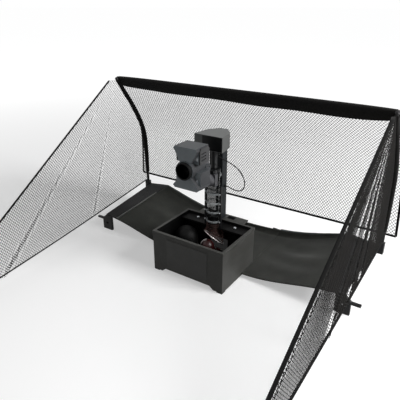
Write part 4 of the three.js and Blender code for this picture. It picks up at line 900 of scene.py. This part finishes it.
starts, ends = clippedLines(lambda y, z: insideSideNet(y / mm, z / mm), sideNets["cutLow"], sideNets["cutHigh"])
t = np.linspace(0, 1, 70)
for hand, side in hands.items():
    lay = laySideNet(side, sideNets[hand])
    net = strandPiece(hand + "_side_net_mesh", starts, ends, lay, sideNets["steps"], nets["twine"], "netTwine")
    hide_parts(hand + "_side_net")
    x = side * blendOf(poles["x"], footX, t)
    front = spot(x, blendOf(frontY, footY + 6, t), blendOf(sideNets["topLevel"], 6.0, t))
    edgeTape(hand + "_net_front_edge", front, sideNets["frontTape"], (1, 0, 0))
    sag = sideNets["sag"] * np.sin(pi * t) * (t < 0.97)
    lower = spot(x, blendOf(sideNets["poleY"] - 2, footY + 8, t),
                 blendOf(sideNets["backLow"] + 4, 5.0, t) - sag)
    edgeTape(hand + "_net_lower_edge", lower, sideNets["lowerTape"], (1, 0, 0))
print("nets made")


# Tray of cloth: a deck behind the hopper, a wing on each side of it up to an end rod, and a flap beyond
# the rod. Over the last lipRun of its depth it bends up to the lip. Points are (x, y, height) or, at the
# flap's ends, (x, height).

tray = {
    "inner": 164.7, "front": 20.0, "back": 373.0, "lip": 25.0, "lipRun": 13.0, "lipShare": 0.45,
    "thickness": 1.4, "side": 165.0, "low": 15.0, "climb": 37.0, "belowRod": 4.8, "rodFront": (505.0, 20.0, 75.0),
    "rodBack": (482.0, 290.0, 118.0), "flapFront": (572.0, 80.0), "flapBack": (592.0, 112.0), "flapSag": 2.5,
    "swell": 6.0, "crease": 3.2,
}
trayDepth = tray["back"] - tray["front"]


# Height of the tray's back edge: 50 + 50 (x / 620) to the power 1.5.
def backEdge(x):
    return 50 + 50 * (np.abs(x) / 620) ** 1.5


# x and height of the end rod at depth y, straight between its two ends.
def rodLine(y):
    (x0, y0, z0), (x1, y1, z1) = tray["rodFront"], tray["rodBack"]
    t = (y - y0) / (y1 - y0)
    return blendOf(x0, x1, t), blendOf(z0, z1, t)


# Rise of the lip from its start (t 0) to its top (t 1): a quarter round and a straight slope, mixed.
def lipRise(t):
    bend = 1 - np.sqrt(np.clip(1 - t ** 2, 0, 1))
    return tray["lip"] * bend * (1 - tray["lipShare"]) + tray["lip"] * tray["lipShare"] * t


# Wing: from the hopper (u 0) to the end rod (u 1), front (v 0) to the top of the lip (v 1). The level
# blends the front and back edges, rises to the rod as u squared, and carries soft folds.
def wingPoints(u, v):
    y = blendOf(tray["front"], tray["back"], v)
    foldX, rodLevel = rodLine(y)
    x = blendOf(tray["inner"], foldX, u)
    low = tray["low"] + tray["climb"] * ((x - tray["side"]) / (tray["rodFront"][0] - tray["side"])) ** 2
    lipStart = 1 - tray["lipRun"] / trayDepth
    bed = blendOf(low, backEdge(x) - tray["lip"], np.clip(v / lipStart, 0, 1))
    level = bed + lipRise(np.clip((v - lipStart) / (1 - lipStart), 0, 1))
    level = blendOf(level, rodLevel - tray["belowRod"], u ** 2)
    soft = np.sin(pi * np.clip(u, 0, 1)) * np.sin(pi * np.clip(v, 0, 1))
    creases = tray["crease"] * np.sin(21 * v + 3 * u + 2 * np.sin(3 * u)) * soft ** 1.2
    return x, y, level + tray["swell"] * wrinkle(u * 5, v * 6, 51) * soft + creases


# End flap: from the rod (u 0) out to its free edge (u 1), sagging in the middle by a few millimetres.
def flapPoints(u, v):
    y = blendOf(tray["front"], tray["back"], v)
    foldX, rodLevel = rodLine(y)
    (x0, z0), (x1, z1) = tray["flapFront"], tray["flapBack"]
    sag = tray["flapSag"] * np.sin(pi * u) * (0.6 + 0.4 * np.sin(5 * v + 1))
    level = blendOf(rodLevel - tray["belowRod"], blendOf(z0, z1, v), u)
    return blendOf(foldX, blendOf(x0, x1, v), u), y, level - sag * np.sin(pi * np.clip(v, 0, 1)) ** 0.4


# Grid of u and v, finer in v towards the lip where there is one.
def clothGrid(low, countU, countV, lip=None):
    v = np.linspace(0, 1, countV) if lip is None else np.concatenate([
        np.linspace(0, lip - 0.005, countV), np.linspace(lip, 1, 14)])
    return np.meshgrid(np.linspace(low, 1, countU), v, indexing="ij")


# The end rod lies in the crease, and its ends are a little rounded. The lip sleeve is cloth wrapped
# round the back rail behind the lip, open below. Stitches run along the rod and the front edge.
endRod = {"radius": 3.0, "sides": 18, "y": [20.0, 20.3, 21.5], "round": [1.2, 2.3, 2.8]}
lipSleeve = {"inner": 172, "outer": 590, "y": 378.6, "below": 5, "radius": 6.4, "tall": 1.25, "crease": 0.35,
             "thickness": 0.9, "open": (-0.35, 1.35)}
seams = {"rod": 0.985, "front": 0.035, "up": 1.1}
rodY = np.concatenate([endRod["y"], np.linspace(23, 287, 30), 310.0 - np.array(endRod["y"][::-1])])
girth = np.concatenate([endRod["round"], np.full(30, endRod["radius"]), endRod["round"][::-1]])
rodX, rodZ = rodLine(rodY)
railX = np.linspace(lipSleeve["inner"], lipSleeve["outer"], 90)[:, None]
foldX, foldZ = rodLine(tray["back"])
reach = np.clip((railX - tray["side"]) / (foldX - tray["side"]), 0, None)
beyond = (railX - foldX) / (tray["flapBack"][0] - foldX)
edgeZ = np.where(reach <= 1, blendOf(backEdge(railX), foldZ - tray["belowRod"], reach ** 2),
                 blendOf(foldZ - tray["belowRod"], tray["flapBack"][1], beyond))
angle = np.linspace(pi * lipSleeve["open"][0], pi * lipSleeve["open"][1], 26)[None]
for hand, side in hands.items():
    x, y, z = wingPoints(*clothGrid(0, 70, 46, 0.945))
    wing = clothPiece(hand + "_wing_cloth", spot(side * x, y, z), tray["thickness"], "trayCloth")
    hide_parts(hand + "_wing")
    x, y, z = flapPoints(*clothGrid(0, 24, 50))
    flap = clothPiece(hand + "_end_flap", spot(side * x, y, z), tray["thickness"], "flapCloth")
    rod = tubePiece(hand + "_end_rod_tube", spot(side * rodX, rodY, rodZ), girth, endRod["sides"], (1, 0, 0),
                    "rodMetal")
    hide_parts(hand + "_end_rod")
    wrap = lipSleeve["radius"] + lipSleeve["crease"] * wrinkle(railX / 16, angle, 71 + side)
    points = spot(side * railX, lipSleeve["y"] + wrap * np.cos(angle),
                  edgeZ - lipSleeve["below"] + wrap * lipSleeve["tall"] * np.sin(angle))
    sleeve = clothPiece(hand + "_lip_sleeve", points, lipSleeve["thickness"], "lipCloth")
    for name, u, v in (("_rod_stitches", np.full(80, seams["rod"]), np.linspace(0.02, 0.93, 80)),
                       ("_front_stitches", np.linspace(0.02, 0.98, 80), np.full(80, seams["front"]))):
        x, y, z = wingPoints(u, v)
        stitchPiece(hand + name, spot(side * x, y, z + seams["up"]), "stitchThread")

# Deck behind the hopper: same lip, bed level from the ball gate back. Near its sides it meets the
# wings: their bed level is blended in as the sixth power of the way across.
deckShape = {"half": 164.5, "start": 123.8, "level": 26.0, "ripple": 2.0}
u, v = clothGrid(-1, 70, 40, 0.925)
x = u * deckShape["half"]
y = blendOf(deckShape["start"], tray["back"], v)
besideShare = (y - tray["front"]) / (trayDepth - tray["lipRun"])
lipStart = 1 - tray["lipRun"] / (tray["back"] - deckShape["start"])
high = backEdge(x) - tray["lip"]
z = blendOf(deckShape["level"], high, np.clip(v / lipStart, 0, 1))
z = blendOf(z, blendOf(tray["low"], high, np.clip(besideShare, 0, 1)), u ** 6)
z = z + lipRise(np.clip((v - lipStart) / (1 - lipStart), 0, 1))
z = z + deckShape["ripple"] * wrinkle(u * 4, v * 4, 61) * np.sin(pi * v) * (1 - u ** 2)
deck = clothPiece("tray_deck_cloth", spot(x, y, z), tray["thickness"], "trayCloth")
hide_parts("tray_deck")

# Deck faces where the balls roll into the gate are painted black: painted shade on the deck behind the gate.
gateShade = {"half": 88.0, "end": 225.0}
paintFaces(deck.data, "blackPlasticAndPaintedShade", lambda middle, normal: (
    (np.abs(middle[:, 0]) < gateShade["half"]) & (middle[:, 1] < gateShade["end"])))
print("tray made")


# Floor, world and lamps.

stageLook = {"floor": "#d4d4d4", "bounce": "#6a6a6a", "size": 120.0, "world": 0.14, "glowNear": 0.42,
             "glowFar": 0.9, "near": 1.2, "far": 4.5}
floorMesh = bpy.data.meshes.new("studioFloor")
half = stageLook["size"] / 2
floorMesh.from_pydata([(-half, -half, 0), (half, -half, 0), (half, half, 0), (-half, half, 0)], [],
                      [(0, 1, 2, 3)])


# 1 for a ray from the camera, a reflection or a clear wall, else 0.
def seenRay(tree):
    path = addNode(tree, "LightPath").outputs
    seen = addNode(tree, "Math", {"operation": "MAXIMUM"}, {0: path["Is Camera Ray"], 1: path["Is Glossy Ray"]})
    return addNode(tree, "Math", {"operation": "MAXIMUM"}, {0: seen.outputs[0], 1: path["Is Transmission Ray"]})


# The floor glows more the further it lies from the object, so that it fades into the white round it
# and still keeps the shadow, and it throws back only part of the light that falls on it.
floorFinish, tree, coord = newFinish("paleStudioFloor")
away = addNode(tree, "VectorMath", {"operation": "LENGTH"}, {0: coord["Object"]})
glowing = addNode(tree, "MapRange", {
    "From Min": stageLook["near"], "From Max": stageLook["far"], "To Min": stageLook["glowNear"],
    "To Max": stageLook["glowFar"]}, {"Value": away.outputs["Value"]})
lit = addNode(tree, "BsdfDiffuse", {"Color": linearColour(stageLook["floor"])})
glow = addNode(tree, "Emission", {"Color": (1, 1, 1, 1)}, {"Strength": glowing.outputs[0]})
both = addNode(tree, "AddShader", {}, {0: lit.outputs[0], 1: glow.outputs[0]})
bounce = addNode(tree, "BsdfDiffuse", {"Color": linearColour(stageLook["bounce"])})
choose = addNode(tree, "MixShader", {}, {0: seenRay(tree).outputs[0], 1: bounce.outputs[0], 2: both.outputs[0]})
addNode(tree, "OutputMaterial", {}, {"Surface": choose.outputs[0]})
floorMesh.materials.append(floorFinish)
newObject("studioFloor", floorMesh)

world = bpy.data.worlds.new("studioWorld")
bpy.context.scene.world = world
world.use_nodes = True
tree = world.node_tree
tree.nodes.clear()
soft = addNode(tree, "Background", {"Color": (0.98, 0.99, 1.0, 1), "Strength": stageLook["world"]})
white = addNode(tree, "Background", {"Color": (1, 1, 1, 1), "Strength": 1.0})
mixed = addNode(tree, "MixShader", {}, {0: seenRay(tree).outputs[0], 1: soft.outputs[0], 2: white.outputs[0]})
addNode(tree, "OutputWorld", {}, {"Surface": mixed.outputs[0]})

lamps = {
    "keyLamp": {"place": (3.1, 0.8, 2.3), "size": 1.6, "power": 200.0},
    "fillLamp": {"place": (-2.6, -1.4, 3.0), "size": 2.6, "power": 7.0},
}
lampAim = (0, hopperY, 0.25)
for name, lamp in lamps.items():
    light = bpy.data.lights.new(name, "AREA")
    light.energy = lamp["power"]
    light.size = lamp["size"]
    holder = newObject(name, light)
    holder.location = lamp["place"]
    x, y, z = np.array(lampAim) - np.array(lamp["place"])
    holder.rotation_euler = (math.atan2(math.hypot(x, y), -z), 0, math.atan2(y, x) - pi / 2)
bpy.context.scene.view_settings.view_transform = "Standard"
print("stage and lamps set")
